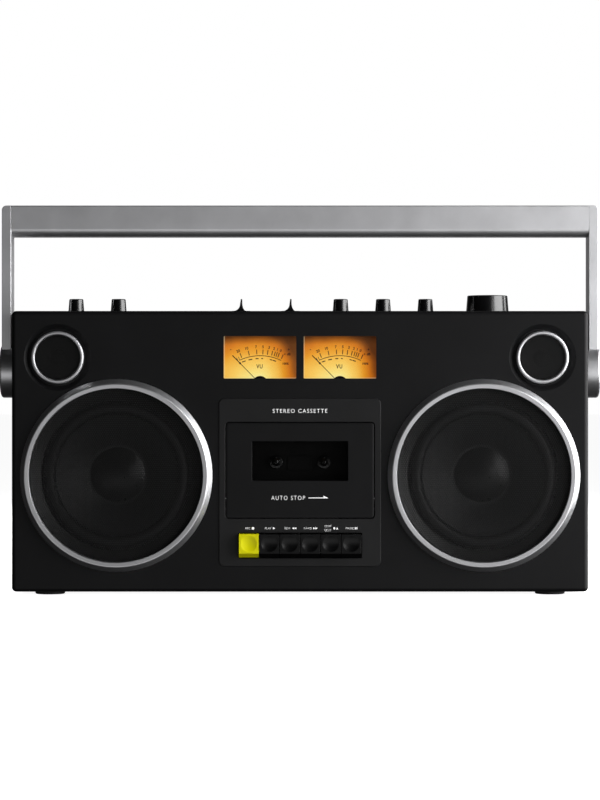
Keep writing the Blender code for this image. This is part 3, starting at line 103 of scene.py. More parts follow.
# ---- Openings and boards ----
OPENING_RADIUS = 0.8 * mm  # corners of the meter, door and key openings
TUB_CUT = 6 * mm  # depth of a cut through the back
STEM_CUT = 5 * mm  # and through the top
SCREW_WELL = 2.2 * mm
SCREW_ACROSS = 0.9  # outer screws, per unit of the cabinet's half width
INLET_WIDTH, INLET_HEIGHT = 15.6 * mm, 8.4 * mm
INLET_X = 52 * mm
INLET_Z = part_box("main_board")[0].z + 16 * mm
INLET_DEPTH = 12 * mm
INLET_PIN_X = 4.3 * mm
BOARD_THICKNESS = 1.6 * mm

# ---- Speakers and meters ----
COLLAR = 3.5 * mm  # how far a woofer ring reaches into the baffle
RING_WIDTH = 8.1 * mm
BEAD_WIDTH = 3.2 * mm  # tweeter ring
BASKET_WALL = 4.5 * mm
SURROUND_RADIUS, CONE_RADIUS, CAP_RADIUS = 65.4 * mm, 53.4 * mm, 24.3 * mm
NEEDLE_REST = 44.4  # degrees to the left of upright
SCALE_RADIUS, SCALE_BASE = 43.5 * mm, -42 * mm  # the dial's arc, and its centre below the window's
SCALE_END = 25.2  # degrees either side of upright

# ---- Controls ----
SMALL_KNOBS = ("left_mic_knob", "right_mic_knob", "bass_knob", "treble_knob", "balance_knob")
KNOBS = (*SMALL_KNOBS, "volume_knob")
SWITCHES = ("source_switch", "tape_switch")

# ---- Light ----
FRONT_LIGHT = 0.72
BACK_LIGHT = 0.25
AMBIENT_LIGHT = 0.012
LIT_PLACE = (0, 0, 0.15)
VIEW_DISTANCE, VIEW_HEIGHT = 2.4, 0.172


def on(facing, x, y, z):
    return Matrix.Translation((x, y, z)) @ facing


def on_face(node):
    """The front face, opposite a node's centre."""
    middle = centre(node)
    return on(FRONT, middle.x, FACE_Y, middle.z)


def reach(node):
    """Half of a node's width, and how far its front and its back stand out of the face."""
    low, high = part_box(node)
    return (high.x - low.x) / 2, FACE_Y - low.y, FACE_Y - high.y


def spun(degrees):
    return Matrix.Rotation(math.radians(degrees), 4, "Z")


def shifted(x, y=0.0):
    return Matrix.Translation((x, y, 0))


# ---- Materials ----
class Paint:
    """A material under construction: its node tree, its shader, and the few nodes it needs."""

    def __init__(self, name, colour, roughness, metallic=0.0, **sockets):
        self.material = bpy.data.materials.new(name)
        self.material.use_nodes = True
        self.tree = self.material.node_tree
        self.shader = self.tree.nodes["Principled BSDF"]
        self.colour = colour
        self.roughness = roughness
        self.set(self.shader, {"Base Color": (*colour, 1), "Roughness": roughness, "Metallic": metallic})
        self.set(self.shader, {name.replace("_", " "): value for name, value in sockets.items()})
        self.place = self.add("ShaderNodeTexCoord").outputs["Object"]

    def set(self, node, values):
        """Fills sockets with constants, or links them to another node's output."""
        for key, value in values.items():
            if isinstance(value, bpy.types.NodeSocket):
                self.tree.links.new(value, node.inputs[key])
            else:
                node.inputs[key].default_value = value

    def add(self, kind, values=None, **settings):
        made = self.tree.nodes.new(kind)
        for key, value in settings.items():
            setattr(made, key, value)
        self.set(made, values or {})
        return made

    def stretched(self, scale):
        return self.add("ShaderNodeMapping", {"Vector": self.place, "Scale": scale}).outputs[0]

    def noise(self, size, detail=2.0, stretch=(1, 1, 1)):
        """Noise whose features are about this size, in metres."""
        values = {"Vector": self.stretched(stretch), "Scale": 1 / size, "Detail": detail}
        return self.add("ShaderNodeTexNoise", values).outputs[0]

    def cells(self, size, feature="F1", stretch=(1, 1, 1)):
        values = {"Vector": self.stretched(stretch), "Scale": 1 / size}
        return self.add("ShaderNodeTexVoronoi", values, feature=feature).outputs["Distance"]

    def span(self, value, low, high, start=0.0, end=1.0):
        values = {"Value": value, "From Min": start, "From Max": end, "To Min": low, "To Max": high}
        return self.add("ShaderNodeMapRange", values).outputs[0]

    def maths(self, operation, first, second=0.0):
        return self.add("ShaderNodeMath", {0: first, 1: second}, operation=operation).outputs[0]

    def ramp(self, value, *stops):
        """A colour for each value, between stops of (position, colour)."""
        made = self.add("ShaderNodeValToRGB", {"Fac": value})
        elements = made.color_ramp.elements
        while len(elements) < len(stops):
            elements.new(0.5)
        for element, (position, colour) in zip(elements, stops):
            element.position = position
            element.color = (*colour, 1)
        return made.outputs["Color"]

    def bump(self, height, distance, strength=1.0):
        values = {"Height": height, "Distance": distance, "Strength": strength}
        self.set(self.shader, {"Normal": self.add("ShaderNodeBump", values).outputs[0]})

    def shades(self, value, contrast):
        """Base colour that strays a little either way from the material's own."""
        darker = tuple(c * (1 - contrast) for c in self.colour)
        lighter = tuple(c * (1 + contrast) for c in self.colour)
        self.set(self.shader, {"Base Color": self.ramp(value, (0.3, darker), (0.7, lighter))})

    def rough(self, value, spread):
        low, high = self.roughness - spread, self.roughness + spread
        self.set(self.shader, {"Roughness": self.span(value, low, high)})


def srgb(red, green, blue):
    """Linear colour from display values of 0 to 255."""
    return tuple(((c / 255 + 0.055) / 1.055) ** 2.4 for c in (red, green, blue))


def moulded(name, colour, roughness, grain, depth, shine=0.5, **sockets):
    """Moulded plastic or rubber: the mould's grain, and broad uneven gloss from handling."""
    paint = Paint(name, colour, roughness, Specular_IOR_Level=shine, **sockets)
    fine = paint.noise(grain, 3)
    broad = paint.noise(38 * mm, 3)
    paint.shades(broad, 0.14)
    paint.rough(paint.maths("MULTIPLY", fine, paint.span(broad, 0.7, 1.3)), 0.07)
    paint.bump(fine, depth)
    return paint.material


def metal(name, colour, roughness, stretch=(1, 1, 1), grain=0.5 * mm, depth=0.004 * mm, metallic=1.0):
    """Blasted, brushed or turned metal. A stretch under 1 draws the grain out along that axis."""
    paint = Paint(name, colour, roughness, metallic)
    lines = paint.noise(grain, 3, stretch)
    broad = paint.noise(30 * mm, 3)
    paint.shades(broad, 0.06)
    paint.rough(paint.maths("MULTIPLY", lines, paint.span(broad, 0.8, 1.2)), 0.08)
    paint.bump(lines, depth)
    return paint.material


def turned_metal(name, colour, roughness):
    """Metal with fine concentric lathe lines round its own axis."""
    paint = Paint(name, colour, roughness, 1.0)
    across = paint.add("ShaderNodeSeparateXYZ", {0: paint.place}).outputs
    squares = [paint.maths("POWER", across[i], 2.0) for i in (0, 1)]
    radius = paint.maths("SQRT", paint.maths("ADD", *squares))
    rings = paint.add("ShaderNodeCombineXYZ", {0: radius, 1: across[2]}).outputs[0]
    lines = paint.add("ShaderNodeTexNoise", {"Vector": rings, "Scale": 4500, "Detail": 2}).outputs[0]
    paint.shades(paint.noise(30 * mm, 2), 0.05)
    paint.rough(lines, 0.07)
    paint.bump(lines, 0.003 * mm)
    return paint.material


def paper():
    """Pressed black paper: long matted fibres."""
    paint = Paint("pressed_paper", (0.014, 0.014, 0.015), 0.55)
    fibres = paint.noise(1.2 * mm, 6, (1, 0.35, 1))
    clumps = paint.cells(2.6 * mm)
    paint.shades(fibres, 0.3)
    paint.rough(clumps, 0.08)
    paint.bump(paint.maths("ADD", fibres, clumps), 0.08 * mm)
    return paint.material


def dial():
    """Amber printed sheet in the dial's own coordinates, with the painted glow of a lamp below its middle,
    painted shadow from the window's top edge, and a painted highlight along the window's left and bottom edges.
    """
    paint = Paint("lit_amber_sheet", srgb(225, 165, 70), 0.6)
    across = paint.add("ShaderNodeSeparateXYZ", {0: paint.place}).outputs
    right = paint.maths("MULTIPLY", paint.maths("MAXIMUM", across[0], 0.0), 1.24)
    left = paint.maths("MULTIPLY", paint.maths("MINIMUM", across[0], 0.0), 0.62)
    beyond = paint.maths("MAXIMUM", paint.maths("SUBTRACT", across[0], 14 * mm), 0.0)
    beyond = paint.maths("MULTIPLY", beyond, 0.12)
    side = paint.maths("ADD", paint.maths("ADD", right, beyond), left)
    height = paint.maths("ADD", across[1], 20 * mm)
    squares = [paint.maths("POWER", part, 2.0) for part in (side, height)]
    distance = paint.maths("SQRT", paint.maths("ADD", *squares))
    blotch = paint.maths("MULTIPLY", paint.maths("SUBTRACT", paint.noise(11 * mm, 2), 0.5), 5 * mm)
    glow = paint.ramp(
        paint.span(paint.maths("ADD", distance, blotch), 0, 1, 0, 46 * mm),
        (0.0, srgb(255, 250, 185)),
        (0.14, srgb(255, 236, 138)),
        (0.3, srgb(254, 213, 102)),
        (0.48, srgb(247, 187, 72)),
        (0.6, srgb(236, 156, 36)),
        (0.76, srgb(212, 118, 22)),
        (0.9, srgb(132, 68, 20)),
        (1.0, srgb(88, 45, 18)),
    )
    # Painted shadow of the window's top edge: the glow and the sheet's colour fall off towards the top
    shade = paint.span(across[1], 1.0, 0.3, 11.5 * mm, 18.6 * mm)
    grain = paint.span(paint.noise(0.7 * mm, 2), 0.94, 1.06)
    values = {0: glow, "Scale": paint.maths("MULTIPLY", shade, grain)}
    lit = paint.add("ShaderNodeVectorMath", values, operation="SCALE").outputs[0]
    # Painted highlight: a pale strip along the window's left and bottom edges
    leftward, downward = [paint.maths("MULTIPLY", across[i], -1.0) for i in (0, 1)]
    strip = paint.maths("MAXIMUM", leftward, paint.maths("ADD", downward, 13.3 * mm))
    edge = paint.span(strip, 0.0, 0.3, 31.0 * mm, 31.4 * mm)
    glow_with_edge_highlight = paint.add("ShaderNodeMix", {0: edge, 6: lit, 7: (1, 0.85, 0.5, 1)}, data_type="RGBA").outputs[2]
    sheet = paint.ramp(shade, (0.0, srgb(70, 42, 18)), (1.0, srgb(110, 76, 34)))
    paint.set(paint.shader, {"Base Color": sheet, "Emission Color": glow_with_edge_highlight, "Emission Strength": 0.95})
    paint.shader.inputs["Specular IOR Level"].default_value = 0.2
    return paint.material


def circuit():
    """Green board: lacquered tracks, and solder pads in rows."""
    paint = Paint("circuit_board", (0.012, 0.07, 0.026), 0.35)
    values = {"Vector": paint.place, "Scale": 60, "Mortar Size": 0.012, "Brick Width": 0.7, "Row Height": 0.2}
    tracks = paint.add("ShaderNodeTexBrick", values).outputs["Fac"]
    pads = paint.span(paint.cells(3.2 * mm), 1, 0, 0.08, 0.14)
    lacquer = paint.ramp(tracks, (0.2, (0.03, 0.13, 0.05)), (0.8, (0.01, 0.055, 0.02)))
    mixed = paint.add("ShaderNodeMix", {0: pads, 6: lacquer, 7: (0.5, 0.5, 0.48, 1)}, data_type="RGBA")
    paint.set(paint.shader, {"Base Color": mixed.outputs[2], "Metallic": pads})
    paint.bump(paint.maths("ADD", tracks, pads), 0.05 * mm)
    return paint.material


def pane(name, colour, alpha, roughness):
    """Window plastic: faint smears change its gloss."""
    paint = Paint(name, colour, roughness, Alpha=alpha)
    paint.shades(paint.noise(20 * mm, 2), 0.2)
    paint.rough(paint.noise(14 * mm, 3), 0.03)
    return paint.material


def ink(name, colour, glow=0.0):
    """Screen printing: slightly uneven and semi-matt; any glow given is painted light that keeps bright ink
    bright.
    """
    paint = Paint(name, colour, 0.55, Emission_Color=(*colour, 1), Emission_Strength=glow)
    paint.shades(paint.noise(0.4 * mm, 2), 0.08)
    paint.rough(paint.noise(0.8 * mm, 2), 0.05)
    return paint.material


# Each finish: its maker, then what the maker is given
FINISHES = {
    "black_plastic": (moulded, "black_moulding", (0.0055, 0.0055, 0.006), 0.5, 0.5 * mm, 0.012 * mm, 0.2),
    "deck_plastic": (moulded, "deck_moulding", (0.0105, 0.0105, 0.011), 0.44, 0.4 * mm, 0.007 * mm, 0.32),
    "door_plastic": (moulded, "door_moulding", (0.0055, 0.0055, 0.006), 0.46, 0.4 * mm, 0.007 * mm, 0.22),
    "key_plastic": (moulded, "key_moulding", (0.002, 0.002, 0.0022), 0.3, 0.6 * mm, 0.004 * mm, 0.3),
    "inner_plastic": (moulded, "inner_moulding", (0.004, 0.004, 0.004), 0.5, 0.5 * mm, 0.01 * mm, 0.2),
    "gloss_black": (moulded, "gloss_moulding", (0.0035, 0.0035, 0.004), 0.22, 0.8 * mm, 0.001 * mm, 0.85),
    "satin_aluminium": (metal, "satin_aluminium", (0.78, 0.78, 0.8), 0.44),
    "hub_aluminium": (metal, "hub_aluminium", (0.78, 0.78, 0.8), 0.38),
    "ring_aluminium": (turned_metal, "ring_aluminium", (0.8, 0.8, 0.82), 0.4),
    "bead_aluminium": (turned_metal, "bead_aluminium", (0.7, 0.7, 0.72), 0.5),
    "steel": (metal, "bare_steel", (0.5, 0.5, 0.51), 0.34, (0.06, 1, 1)),
    "turned_steel": (turned_metal, "turned_steel", (0.56, 0.56, 0.57), 0.26),
    "basket_steel": (moulded, "black_enamel", (0.022, 0.022, 0.022), 0.42, 1.5 * mm, 0.01 * mm),
    "speaker_mesh": (moulded, "mesh_enamel", (0.008, 0.008, 0.008), 0.5, 0.3 * mm, 0.006 * mm, 0.25),
    "cone_paper": (paper,),
    "dome_film": (moulded, "dome_film", (0.008, 0.008, 0.0085), 0.5, 6 * mm, 0.02 * mm, 0.2),
    "cap_film": (moulded, "cap_film", (0.011, 0.011, 0.0115), 0.3, 5 * mm, 0.006 * mm, 0.34),
    "rubber": (moulded, "black_rubber", (0.009, 0.009, 0.009), 0.8, 0.6 * mm, 0.03 * mm),
    "lit_dial": (dial,),
    "yellow_key": (moulded, "yellow_moulding", srgb(232, 227, 0), 0.4, 0.6 * mm, 0.004 * mm, 0.22),
    "clear_window": (pane, "clear_window", (0.02, 0.02, 0.02), 0.05, 0.05),
    "smoked_window": (pane, "smoked_window", (0.001, 0.001, 0.001), 0.25, 0.05),
    "circuit_board": (circuit,),
    "battery_wrap": (moulded, "battery_wrap", (0.01, 0.012, 0.02), 0.3, 9 * mm, 0.06 * mm),
    "copper": (metal, "copper_wire", (0.7, 0.32, 0.16), 0.35, (1, 0.1, 1), 0.6 * mm, 0.05 * mm),
    # White ink with a painted glow
    "white_ink": (ink, "white_ink", (0.85, 0.85, 0.85), 0.7),
    "dial_ink": (ink, "dial_ink", srgb(30, 14, 2)),
}
materials = {}


def finish_of(name):
    if name not in materials:
        maker, *given = FINISHES[name]
        materials[name] = maker(*given)
    return materials[name]


# ---- Modelling ----
def rounded(points, steps=6):
    """A closed outline. A point's third value, if it has one, is the radius that rounds it."""
    made = []
    for i, point in enumerate(points):
        here = Vector(point[:2])
        if len(point) == 2 or not point[2]:
            made.append(tuple(here))
            continue
        before = Vector(points[i - 1][:2]) - here
        after = Vector(points[(i + 1) % len(points)][:2]) - here
        half = before.angle(after) / 2
        reach = min(point[2] / math.tan(half), 0.5 * before.length, 0.5 * after.length)
        radius = reach * math.tan(half)
        middle = here + (before.normalized() + after.normalized()).normalized() * (radius / math.sin(half))
        start = here + before.normalized() * reach - middle
        turn = start.angle_signed(here + after.normalized() * reach - middle)
        for step in range(steps + 1):
            made.append(tuple(middle + Matrix.Rotation(-turn * step / steps, 2) @ start))
    return made


def rectangle(width, height, radius=0.0, x=0.0, y=0.0, steps=6):
    corners = ((1, 1), (-1, 1), (-1, -1), (1, -1))
    return rounded([(x + sx * width / 2, y + sy * height / 2, radius) for sx, sy in corners], steps)


def arc(x, y, radius, start, end, steps):
    """Points along an arc, with the angles in degrees."""
    angles = [math.radians(start + (end - start) * i / steps) for i in range(steps + 1)]
    return [(x + radius * math.cos(a), y + radius * math.sin(a)) for a in angles]


def lathe(profile, segments=ROUND, steps=5):
    """A solid turned about local Z, from a closed profile of (radius, height[, corner radius])."""
    bm = bmesh.new()
    turns = [2 * math.pi * i / segments for i in range(segments)]
    rings = []
    for radius, height in rounded(profile, steps):
        spokes = turns if radius > 1e-7 else turns[:1]
        rings.append([bm.verts.new((radius * math.cos(a), radius * math.sin(a), height)) for a in spokes])
    for lower, upper in zip(rings, rings[1:] + rings[:1]):
        if len(lower) == len(upper) == 1:
            continue
        for i in range(segments):
            j = (i + 1) % segments
            corners = [ring[k % len(ring)] for ring, k in ((lower, i), (lower, j), (upper, j), (upper, i))]
            bm.faces.new(list(dict.fromkeys(corners)))
    return bm


def pin(radius, low, high, segments=SMALL_ROUND):
    """A plain cylinder between two heights, which also serves to cut a bore."""
    return lathe([(0, low), (radius, low), (radius, high), (0, high)], segments)


def evaluated(obj):
    """The finished mesh of a scratch object, as a bmesh. The object is removed."""
    bpy.context.scene.collection.objects.link(obj)
    graph = bpy.context.evaluated_depsgraph_get()
    graph.update()
    source = obj.evaluated_get(graph)
    bm = bmesh.new()
    bm.from_mesh(source.to_mesh())
    source.to_mesh_clear()
    bpy.data.objects.remove(obj)
    return bm


def plate(outline, low, high, holes=(), edge=0.0):
    """A flat piece between two heights, with holes and with rounded edges."""
    curve = bpy.data.curves.new("outline", "CURVE")
    curve.dimensions = "2D"
    curve.fill_mode = "BOTH"
    curve.extrude = (high - low) / 2 - edge
    curve.bevel_depth = edge
    curve.bevel_resolution = 2
    curve.offset = -edge
    for points in (outline, *holes):
        spline = curve.splines.new("POLY")
        spline.points.add(len(points) - 1)
        spline.use_cyclic_u = True
        for point, (x, y) in zip(spline.points, points):
            point.co = (x, y, 0, 1)
    bm = evaluated(bpy.data.objects.new("outline", curve))
    bmesh.ops.remove_doubles(bm, verts=bm.verts, dist=1e-6)
    bmesh.ops.translate(bm, vec=(0, 0, (low + high) / 2), verts=bm.verts)
    return bm


def box(low, high, radius=0.0, picked=None, segments=3):
    """A box between two corners. picked(edge) chooses the edges that get the radius."""
    bm = bmesh.new()
    bmesh.ops.create_cube(bm, size=1)
    low, high = Vector(low), Vector(high)
    bmesh.ops.scale(bm, vec=high - low, verts=bm.verts)
    bmesh.ops.translate(bm, vec=(low + high) / 2, verts=bm.verts)
    if radius:
        edges = [edge for edge in bm.edges if picked is None or picked(edge)]
        bmesh.ops.bevel(bm, geom=edges, offset=radius, segments=segments, profile=0.5, affect="EDGES")
    return bm


def along(edge, axis):
    """Whether an edge runs along X (0), Y (1) or Z (2)."""
    direction = edge.verts[1].co - edge.verts[0].co
    return abs(direction[axis]) > 0.99 * direction.length


def loft(rings):
    """A closed solid through outlines of equal length, each a pair of (points, height)."""
    bm = bmesh.new()
    loops = [[bm.verts.new((x, y, height)) for x, y in points] for points, height in rings]
    for lower, upper in zip(loops, loops[1:]):
        for i in range(len(lower)):
            bm.faces.new((lower[i - 1], lower[i], upper[i], upper[i - 1]))
    bm.faces.new(loops[0])
    bm.faces.new(loops[-1])
    return bm


def moved(bm, place):
    bm.transform(place)
    return bm


def combined(*parts):
    """Several meshes in one bmesh."""
    whole = parts[0]
    for part in parts[1:]:
        mesh = bpy.data.meshes.new("part")
        part.to_mesh(mesh)
        part.free()
        whole.from_mesh(mesh)
        bpy.data.meshes.remove(mesh)
    return whole


def outward(bm):
    """Turns every face of a closed mesh outward."""
    bmesh.ops.recalc_face_normals(bm, faces=bm.faces)
    if bm.calc_volume(signed=True) < 0:
        bmesh.ops.reverse_faces(bm, faces=bm.faces)


def scratch(bm):
    """A mesh as a loose object that only the cuts use."""
    outward(bm)
    mesh = bpy.data.meshes.new("scratch")
    bm.to_mesh(mesh)
    bm.free()
    return bpy.data.objects.new("scratch", mesh)


def carve(bm, *cutters):
    """Cuts each cutter out of a mesh."""
    body = scratch(bm)
    tools = [scratch(cutter) for cutter in cutters]
    for tool in tools:
        bpy.context.scene.collection.objects.link(tool)
        modifier = body.modifiers.new("cut", "BOOLEAN")
        modifier.operation = "DIFFERENCE"
        modifier.object = tool
    carved = evaluated(body)
    for tool in tools:
        bpy.data.objects.remove(tool)
    bmesh.ops.remove_doubles(carved, verts=carved.verts, dist=1e-6)
    return carved


def piece(name, bm, finish, place=UP, node=None, body=None, smooth=32.0):
    """Adds a finished mesh to the player. A node that it stands for gives its body."""
    outward(bm)
    mesh = bpy.data.meshes.new(name)
    bm.to_mesh(mesh)
    bm.free()
    mesh.shade_smooth()
    mesh.set_sharp_from_angle(angle=math.radians(smooth))
    mesh.materials.append(finish_of(finish))
    obj = bpy.data.objects.new(name, mesh)
    bpy.context.scene.collection.objects.link(obj)
    obj.matrix_world = place
    normals = obj.modifiers.new("face_normals", "WEIGHTED_NORMAL")
    normals.keep_sharp = True
    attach(obj, BODY_OF[node] if node else body)
    if node:
        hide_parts(node)
    return obj


def stand_in(node, bm, place=UP, finish=None, smooth=32.0):
    """The finished form of one CAD node."""
    return piece(f"{node}_visual", bm, finish or SLOT_OF[node], place, node=node, smooth=smooth)


def keep(node, finish=None, edge=0.2 * mm):
    """A CAD node whose shape is right: a finish, and edges that catch the light."""
    obj = frame["nodes"][node]
    obj.data.materials.clear()
    obj.data.materials.append(finish_of(finish or SLOT_OF[node]))
    weld = obj.modifiers.new("weld", "WELD")
    weld.merge_threshold = 1e-6
    bevel = obj.modifiers.new("edges", "BEVEL")
    bevel.width = edge
    bevel.segments = 2
    bevel.angle_limit = math.radians(40)
    bevel.harden_normals = True


# ---- Lettering ----
def text(words, height, width=None, weight=0.0, spacing=1.0):
    """Raised letters from the built-in face, centred, drawn to a height and, if given, to a width."""
    font = bpy.data.curves.new("words", "FONT")
    font.body = words
    font.space_character = spacing
    font.size = height / 0.72
    font.offset = weight
    font.extrude = PRINT / 2
    font.resolution_u = 3
    bm = evaluated(bpy.data.objects.new("words", font))
    bmesh.ops.remove_doubles(bm, verts=bm.verts, dist=1e-7)
    spans = [[vert.co[axis] for vert in bm.verts] for axis in (0, 1)]
    middle = [(min(span) + max(span)) / 2 for span in spans]
    stretch = width / (max(spans[0]) - min(spans[0])) if width else 1.0
    bmesh.ops.translate(bm, vec=(-middle[0], -middle[1], 0), verts=bm.verts)
    bmesh.ops.scale(bm, vec=(stretch, 1, 1), verts=bm.verts)
    return bm


def mark(outline):
    return plate(outline, -PRINT / 2, PRINT / 2)


def at(bm, x, y, degrees=0.0):
    """Moves a mark in its own plane."""
    return moved(bm, shifted(x, y) @ spun(degrees))


def triangle(size, direction):
    return [(-direction * size / 2, size / 2), (-direction * size / 2, -size / 2), (direction * size / 2, 0)]


# ---- Cabinet ----
def outer_edges(y):
    """Picks the edges that run front to back, and those round the face at this depth."""

    def picked(edge):
        middle = (edge.verts[0].co + edge.verts[1].co) / 2
        return along(edge, 1) or abs(middle.y - y) < GAP

    return picked


def front_baffle():
    shell = box(BAFFLE_LOW, BAFFLE_HIGH, EDGE_RADIUS, outer_edges(FACE_Y), 8)
    inset = Vector((WALL, BAFFLE_THICKNESS, WALL))
    inside = box(BAFFLE_LOW + inset, BAFFLE_HIGH + Vector((-WALL, WALL, -WALL)))
    cutters = [inside]
    deep, proud = -14 * mm, 2 * mm
    slope = (FUNNEL_RADIUS - FUNNEL_END) / BAFFLE_THICKNESS
    for side in ("left", "right"):
        hole = reach(f"{side}_woofer_ring")[0] - 6.3 * mm
        cutters.append(moved(pin(hole, deep, proud, ROUND), on_face(f"{side}_woofer_ring")))
        funnel = [(FUNNEL_RADIUS + slope * height, height) for height in (deep, proud)]
        cutters.append(moved(lathe([(0, deep), *funnel, (0, proud)]), on_face(f"{side}_tweeter_ring")))
        window = plate(rectangle(METER_WIDTH, METER_HEIGHT, OPENING_RADIUS), deep, proud)
        cutters.append(moved(window, on(FRONT, centre(f"{side}_meter").x, FACE_Y, METER_Z)))
    low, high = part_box("deck_panel")
    trim = 2 * (GAP - DECK_FLANGE)
    hole = rectangle(high.x - low.x + trim, high.z - low.z + trim, DECK_RADIUS)
    cutters.append(moved(plate(hole, deep, proud), on_face("deck_panel")))
    stand_in("front_baffle", carve(shell, *cutters))


def screw_places():
    """Where the rear screws go: a row along the top, and one at each side and lower corner."""
    ends = (-SCREW_ACROSS, SCREW_ACROSS)
    rows = [(x * SIDE, TOP - 16 * mm) for x in (ends[0], -0.32, 0.32, ends[1])]
    rows += [(x * SIDE, BASE + 14 * mm) for x in ends]
    rows += [(x * SIDE, (BASE + TOP) / 2 - 10 * mm) for x in ends]
    return rows


def rear_cabinet():
    shell = box(TUB_LOW, TUB_HIGH, EDGE_RADIUS, outer_edges(REAR_Y), 8)
    inside = box(TUB_LOW + Vector((WALL, -WALL, WALL)), TUB_HIGH - Vector((WALL, WALL, WALL)))
    past = SIDE + WALL
    cutters = [inside, moved(pin(PIVOT_RADIUS + GAP, -past, past), on(RIGHT, 0, MID_Y, PIVOT_Z))]
    for node in KNOBS:
        cutters.append(moved(pin(STEM_RADIUS + GAP, -STEM_CUT, mm), on(UP, centre(node).x, MID_Y, TOP)))
    for node in SWITCHES:
        slot = plate(rectangle(9.8 * mm, 3.8 * mm, 0.2 * mm), -STEM_CUT, mm)
        cutters.append(moved(slot, on(UP, centre(node).x, MID_Y, TOP)))
    low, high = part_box("battery_door")
    opening = rectangle(high.x - low.x + 2 * GAP, high.z - low.z + 2 * GAP, 1.1 * mm)
    inlet = rectangle(INLET_WIDTH, INLET_HEIGHT, INLET_HEIGHT / 2 - GAP)
    surround = rectangle(INLET_WIDTH + 7 * mm, INLET_HEIGHT + 7 * mm, 2 * mm)
    for outline, depth, x, z in (
        (opening, TUB_CUT, 0, centre("battery_door").z),
        (inlet, TUB_CUT, INLET_X, INLET_Z),
        (surround, 0.9 * mm, INLET_X, INLET_Z),
    ):
        cutters.append(moved(plate(outline, -depth, mm), on(BACK, x, REAR_Y, z)))
    for x, z in screw_places():
        profile = [(0, -SCREW_WELL), (4.2 * mm, -SCREW_WELL, 0.4 * mm), (4.6 * mm, mm), (0, mm)]
        cutters.append(moved(lathe(profile, SMALL_ROUND), on(BACK, x, REAR_Y, z)))
    stand_in("rear_cabinet", carve(shell, *cutters))
    screws = [moved(screw(), on(BACK, x, REAR_Y - SCREW_WELL + 0.1 * mm, z)) for x, z in screw_places()]
    piece("rear_screws", combined(*screws), "turned_steel", body="cabinet")


def screw():
    """Pan head with a cross recess."""
    radius, height, bar = 3.2 * mm, 1.8 * mm, 0.7 * mm
    profile = [
        (0, 0),
        (radius, 0),
        (radius, 0.8 * mm, 0.5 * mm),
        (1.8 * mm, height - 0.1 * mm, 1.4 * mm),
        (0, height),
    ]
    bars = [plate(rectangle(*size), height / 2, 3 * mm) for size in ((radius, bar), (bar, radius))]
    return carve(lathe(profile, 32), *bars)


def battery():
    low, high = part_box("battery_door")
    wide, tall = high.x - low.x, high.z - low.z
    leaf = plate(rectangle(wide, tall, OPENING_RADIUS), -WALL, 0, edge=FINE_EDGE)
    recess = plate(rectangle(31 * mm, 13 * mm, 2 * mm, y=tall / 2 - 8 * mm), -1.3 * mm, mm)
    rib_low, rib_high = -1.5 * mm, -0.3 * mm
    ribs = []
    for i in range(4):
        rib = plate(rectangle(27 * mm, 0.9 * mm, 0.4 * mm), rib_low, rib_high, edge=0.2 * mm)
        ribs.append(moved(rib, shifted(0, tall / 2 - (4 + 2.6 * i) * mm)))
    leaf = combined(carve(leaf, recess), *ribs)
    stand_in("battery_door", leaf, on(BACK, 0, REAR_Y, (low.z + high.z) / 2))

    low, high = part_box("battery_pack")
    cell = 9.2 * mm
    rows = [low.z + cell + i * (high.z - low.z - 2 * cell) / 2 for i in range(3)]
    columns = [low.y + cell, high.y - cell]
    # Round the two columns of three cells: each cell's column and row, and the arc of it that shows
    outline = []
    for column, row, start, end, steps in (
        (0, 0, 180, 270, 12),
        (1, 0, 270, 390, 14),
        (1, 1, -30, 30, 8),
        (1, 2, -30, 90, 14),
        (0, 2, 90, 210, 14),
        (0, 1, 150, 210, 8),
        (0, 0, 150, 180, 4),
    ):
        outline += arc(columns[column], rows[row], cell, start, end, steps)
    half = (high.x - low.x) / 2
    along_x = Matrix(((0, 0, 1, 0), (1, 0, 0, 0), (0, 1, 0, 0), (0, 0, 0, 1)))
    pack = moved(plate(outline[:-1], -half, half, edge=0.8 * mm), along_x)
    stand_in("battery_pack", pack, smooth=24)


def feet():
    for node in ("front_left_foot", "front_right_foot", "rear_left_foot", "rear_right_foot"):
        low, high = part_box(node)
        radius, height = (high.x - low.x) / 2, high.z - low.z
        profile = [
            (0, 0.5 * mm),
            (radius - 4 * mm, 0.5 * mm),
            (radius - 4.4 * mm, 0, 0.2 * mm),
            (radius - 0.2 * mm, 0, 0.9 * mm),
            (radius, height, 0.3 * mm),
            (0, height),
        ]
        stand_in(node, lathe(profile, SMALL_ROUND), on(UP, *((low + high) / 2).xy, 0))


